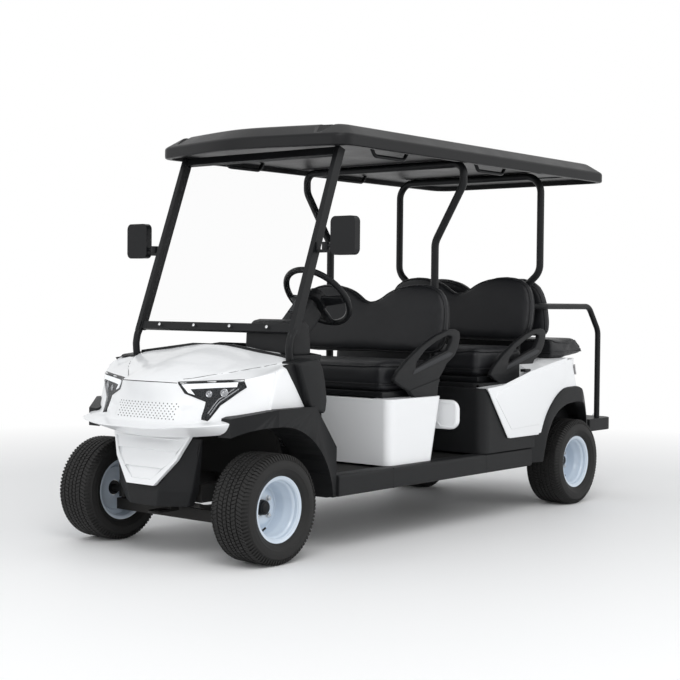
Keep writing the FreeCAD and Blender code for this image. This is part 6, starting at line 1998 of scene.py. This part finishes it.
    def rim(self) -> None:
        """Turns the deep dish with its steps, and fits cap, studs and valve."""
        centre, out = self.centre(), Vector((0, self.side, 0))
        body = self.name("wheel")
        face = [
            (0.034, -0.02), (0.034, -0.017), (0.05, -0.013), (0.062, -0.012), (0.074, -0.015),
            (0.083, -0.022), (0.092, -0.028), (0.100, -0.026), (0.104, -0.018), (0.106, 0.004),
            (0.108, 0.018), (0.1135, 0.024), (0.1145, 0.046), (0.117, 0.054), (0.1225, 0.058),
            (0.1235, 0.071), (0.1275, 0.0765), (0.136, 0.0775), (0.1395, 0.079), (0.1405, 0.0805),
            (0.1398, 0.082), (0.137, 0.0824), (0.1345, 0.0815), (0.131, 0.0795), (0.125, 0.0790),
        ]
        back = [
            (0.1255, 0.078), (0.121, 0.074), (0.1195, 0.061), (0.114, 0.057), (0.1115, 0.048),
            (0.1105, 0.027), (0.105, 0.021), (0.103, 0.004), (0.101, -0.018), (0.096, -0.031),
            (0.075, -0.019), (0.052, -0.017), (0.034, -0.021),
        ]
        inner = [
            (0.1235, -0.028), (0.1265, -0.060), (0.1275, -0.0765), (0.136, -0.0775), (0.1395, -0.079),
            (0.1405, -0.0805), (0.1398, -0.082), (0.137, -0.0824), (0.125, -0.0790), (0.1215, -0.074),
            (0.1205, -0.030), (0.1, -0.031),
        ]
        dish = Bench.lathe("dish", face, centre, out, 96, 40)
        barrel = [(0.0995, -0.0285), (0.108, -0.0245), (0.1235, -0.0245)] + inner + [(0.0995, -0.0285)]
        shell = Bench.lathe("barrel", barrel, centre, out, 96, 40)
        rear = Bench.lathe("rear", back, centre, out, 96, 40)
        whole = Bench.join(self.name("steel_wheel"), [dish, shell, rear])
        # The dish's blue-grey colour paints its shade and reflection over white paint.
        keep(whole, Finish.RIM_SHADED_WHITE, body, (self.name("rim"),))
        cap = [
            (0.0, 0.012), (0.018, 0.0118), (0.0225, 0.0095), (0.0235, 0.006), (0.0275, 0.005), (0.0305, 0.0),
            (0.0315, -0.010), (0.033, -0.019), (0.0, -0.019),
        ]
        keep(Bench.lathe(self.name("hub_cap"), cap, centre, out, 40, 40), Finish.SMOOTH_BLACK, body)
        nuts = []
        for i in range(4):
            turn = math.tau * (i + 0.5) / 4
            foot = centre + Vector((math.cos(turn), 0, math.sin(turn))) * 0.0508 + out * -0.0135
            profile = [
                (0.0, 0.017), (0.0035, 0.0165), (0.0045, 0.015), (0.0045, 0.012), (0.0085, 0.0115),
                (0.0098, 0.0095), (0.0102, 0.0015), (0.0135, 0.001), (0.0135, -0.001), (0.0, -0.001),
            ]
            nuts.append(Bench.lathe("nut", profile, foot, out, 12, 25))
        keep(Bench.join(self.name("wheel_nuts"), nuts), Finish.STEEL, body)
        turn = math.radians(-62)
        way = Vector((math.cos(turn), 0, math.sin(turn)))
        root = centre + way * 0.1125 + out * 0.018
        tip = centre + way * 0.083 + out * 0.043
        stem = Bench.tube("stem", [root, root.lerp(tip, 0.6)], 0.0055)
        end = Bench.tube("stem_cap", [root.lerp(tip, 0.55), tip], 0.0042)
        keep(Bench.join(self.name("valve"), [stem, end]), Finish.SMOOTH_BLACK, body)

    def build(self) -> None:
        """Builds the tyre and the steel wheel."""
        self.tyre()
        self.rim()


# Seats

@dataclass
class Padded:
    """Vinyl piece that starts as a rounded block, swells as cloth and gets its seams."""

    node: str
    voxel: float = 0.009
    start_inset: float = 0.005
    pressure: float = 4.0
    cap: float = 0.011
    frames: int = 20
    seam_reach: float = 0.016
    seam_depth: float = 0.0036

    def block(self) -> Piece:
        """Makes the starting block; each kind has its own."""
        raise NotImplementedError

    def seams(self, tree: BVHTree) -> list:
        """Finds the lines of the seams; each kind has its own."""
        raise NotImplementedError

    def shell(self) -> Piece:
        """Meshes the block evenly and draws it in a little.

        Returns:
            The starting shape.
        """
        piece = self.block()
        Bench.modify(piece, "REMESH", mode="VOXEL", voxel_size=self.voxel)
        Bench.modify(piece, "DISPLACE", strength=-self.start_inset, mid_level=0)
        self.relax(piece, 8)
        return piece

    @staticmethod
    def relax(piece: Piece, rounds: int) -> None:
        """Evens out small unevenness of a surface."""
        Bench.modify(piece, "SMOOTH", factor=0.5, iterations=rounds)

    def swell(self, piece: Piece) -> None:
        """Blows the cover up with the cloth solver, within a cap.

        Args:
            piece: the starting shape.
        """
        rest = [v.co.copy() for v in piece.data.vertices]
        cloth = piece.modifiers.new("cloth", "CLOTH")
        cloth.settings.quality = 4
        cloth.settings.mass = 0.3
        cloth.settings.tension_stiffness = 30
        cloth.settings.compression_stiffness = 30
        cloth.settings.shear_stiffness = 15
        cloth.settings.bending_stiffness = 4
        cloth.settings.use_pressure = True
        cloth.settings.uniform_pressure_force = self.pressure
        cloth.settings.effector_weights.gravity = 0
        scene = bpy.context.scene
        for number in range(1, self.frames + 1):
            scene.frame_set(number)
        Bench.apply(piece)
        scene.frame_set(1)
        for vertex, start in zip(piece.data.vertices, rest):
            move = vertex.co - start
            if move.length > self.cap:
                vertex.co = start + move.normalized() * self.cap
        self.relax(piece, 16)

    def press(self, piece: Piece, lines: list) -> None:
        """Presses a soft groove along each seam.

        Args:
            piece: the padded piece.
            lines: lists of points on its surface.
        """
        spots = [p for line in lines for p in line]
        near = KDTree(len(spots))
        for number, spot in enumerate(spots):
            near.insert(spot, number)
        near.balance()
        for vertex in piece.data.vertices:
            far = near.find(vertex.co)[2]
            if far < self.seam_reach:
                vertex.co -= vertex.normal * self.seam_depth * smooth(1 - far / self.seam_reach)

    def build(self) -> None:
        """Builds the padded piece and its piping."""
        piece = self.shell()
        self.swell(piece)
        lines = self.seams(BVHTree.FromObject(piece, bpy.context.evaluated_depsgraph_get()))
        self.press(piece, lines)
        Bench.modify(piece, "SUBSURF", levels=1, render_levels=1)
        Bench.shade(piece, 60)
        keep(piece, Finish.VINYL, NODE_BODY[self.node], (self.node,))
        tubes = [Bench.tube("piping", line, 0.0026, 0, 2, True) for line in lines]
        keep(Bench.join(self.node + "_piping", tubes), Finish.PIPING, NODE_BODY[self.node])


@dataclass
class Cushion(Padded):
    """Bench cushion drawn as a side profile, on its black board."""

    profile: tuple = ()
    half: float = 0.478
    edge: float = 0.036
    taper: float = 0.0
    taper_start: float = -1.20
    board: tuple = ()

    def width_at(self, x: float) -> float:
        """Gives the share of the full width at a place along the cart."""
        return 1 - self.taper * smooth((self.taper_start - x) / 0.19)

    def block(self) -> Piece:
        """Extrudes the profile across the cart and rounds it.

        Returns:
            The block.
        """
        outline = [Vector((x, self.half, z)) for x, z in self.profile]
        piece = Bench.plate(self.node + "_cover", outline, (0, -2 * self.half, 0), self.edge, 6)
        for vertex in piece.data.vertices:
            vertex.co.y *= self.width_at(vertex.co.x)
        return piece

    def seams(self, tree: BVHTree) -> list:
        """Runs one seam round the top panel and one round the sides' lower hem.

        Args:
            tree: the padded surface.

        Returns:
            Lists of points.
        """
        xs = [p[0] for p in self.profile]
        low, high = min(xs), max(xs)
        bottom, top = min(p[1] for p in self.profile), max(p[1] for p in self.profile)
        lines = []
        inset = 0.024
        corners = [
            (high - inset, self.half - inset, 0), (low + inset, self.half - inset, 0),
            (low + inset, inset - self.half, 0), (high - inset, inset - self.half, 0),
        ]
        plan = Bench.divide(Bench.ring(corners, 0.04, 6))
        line = [tree.ray_cast(Vector((p.x, p.y * self.width_at(p.x), top + 0.3)), Vector((0, 0, -1)))[0]
                for p in plan]
        lines.append([p for p in line if p is not None])
        height = bottom + (top - bottom) * 0.3
        middle = (low + high) / 2
        line = []
        for p in plan:
            reach = Vector((p.x - middle, p.y, 0)) * 1.6
            aim = Vector((middle + (p.x - middle) * 0.6, p.y * 0.8, height))
            start = Vector((middle + reach.x, reach.y, height))
            line.append(tree.ray_cast(start, (aim - start).normalized())[0])
        lines.append([p for p in line if p is not None])
        return lines

    def build(self) -> None:
        """Builds the cushion and its board."""
        super().build()
        if self.board:
            board = Bench.box(self.node + "_board", self.board[0], self.board[1], 0.004)
            keep(board, Finish.SMOOTH_BLACK, NODE_BODY[self.node])


@dataclass
class Backrest(Padded):
    """Leaning back with two broad humps and a soft valley."""

    foot: tuple = (0.0, 0.0)
    way: int = 1
    width: float = 1.04
    height: float = 1.045
    drop: float = 1.0
    thick: float = 0.066
    seam: float = 0.021
    lean: float = 10.0
    outline: tuple = (
        (0.0, 247), (25, 250), (55, 263), (90, 286), (125, 303), (170, 316), (225, 325), (280, 327),
        (335, 322), (385, 307), (425, 280), (450, 240), (465, 190), (470, 140), (470, 80), (462, 34),
        (440, -6), (400, -25), (330, -32), (200, -31), (0.0, -27),
    )

    def axes(self) -> tuple:
        """Finds the back's foot, its upward direction and its facing direction.

        Returns:
            Three vectors.
        """
        turn = math.radians(self.lean) * self.way
        up = Vector((-math.sin(turn), 0, math.cos(turn)))
        face = Vector((math.cos(turn), 0, math.sin(turn))) * self.way
        return Vector((self.foot[0], 0, self.foot[1])), up, face

    def rim(self, inset: float = 0.0) -> list:
        """Places the outline in the back's middle plane.

        Args:
            inset: distance that it is drawn in all round.

        Returns:
            Points all round.
        """
        foot, up, _ = self.axes()
        half = [(u * self.width / 1000, (v * self.height if v > 0 else v * self.drop) / 1000) for u,
                v in self.outline]
        flat = half + [(-u, v) for u, v in reversed(half[1:-1])]
        fine = Bench.ring([(u, v, 0) for u, v in flat], 0.03, 3)
        fine = [p for p, q in zip(fine, fine[1:] + fine[:1]) if (q - p).length > 0.0005]
        points = []
        for i, spot in enumerate(fine):
            way = (fine[(i + 1) % len(fine)] - fine[i - 1]).normalized()
            drawn = spot + Vector((way.y, -way.x, 0)) * inset
            points.append(foot + Vector((0, drawn.x, 0)) + up * drawn.y)
        return points

    def block(self) -> Piece:
        """Extrudes the outline through the back's thickness and rounds it.

        Returns:
            The block.
        """
        _, _, face = self.axes()
        outline = [p - face * self.thick / 2 for p in self.rim()]
        return Bench.plate(self.node + "_cover", outline, tuple(face * self.thick), 0.026, 6)

    def seams(self, tree: BVHTree) -> list:
        """Runs a seam inside the rim on both faces.

        Args:
            tree: the padded surface.

        Returns:
            Lists of points.
        """
        _, _, face = self.axes()
        lines = []
        for side in (1, -1):
            line = [tree.ray_cast(p + face * side * 0.3, -face * side)[0]
                    for p in Bench.divide(self.rim(self.seam))]
            lines.append([p for p in line if p is not None])
        return lines


def seats() -> list:
    """Lists the cart's padded pieces.

    Returns:
        Cushions and backs.
    """
    level = ((0.545, 0.6645), (0.545, 0.8035), (0.090, 0.8035), (0.090, 0.6645))
    second = ((-0.240, 0.7055), (-0.240, 0.8545), (-0.695, 0.8545), (-0.695, 0.7055))
    wedge = ((-0.962, 0.788), (-0.962, 0.886), (-1.245, 0.888), (-1.396, 0.830), (-1.392, 0.808),
             (-1.130, 0.788))
    return [
        Cushion("front_cushion", profile=level, board=((0.106, -0.464, 0.643), (0.529, 0.464, 0.672))),
        Cushion("mid_cushion", profile=second, board=((-0.679, -0.464, 0.684), (-0.256, 0.464, 0.713))),
        Cushion("rear_cushion", profile=wedge, edge=0.028, taper=0.08),
        Backrest("front_backrest", foot=(0.049, 0.8463)),
        Backrest("mid_backrest", foot=(-0.736, 0.8973)),
        Backrest("rear_backrest", foot=(-1.015, 0.8925), way=-1, width=0.93, drop=0.05),
    ]


def main() -> None:
    """Builds the cart's pieces in order."""
    logging.basicConfig(level=logging.INFO, format="%(message)s")
    Studio().build()
    Structure().build()
    Cowl().build()
    for end in ("front", "rear"):
        for side in (1, -1):
            Wheel(end, side).build()
    Roof().build()
    Screen().build()
    Helm().build()
    Fittings().build()
    Dash().build()
    Armrest("front_armrests", (0.0, 0.0)).build()
    Armrest("mid_armrests", (-0.800, -0.004)).build()
    RearBody().build()
    for seat in seats():
        seat.build()


if __name__ == "__main__":
    main()
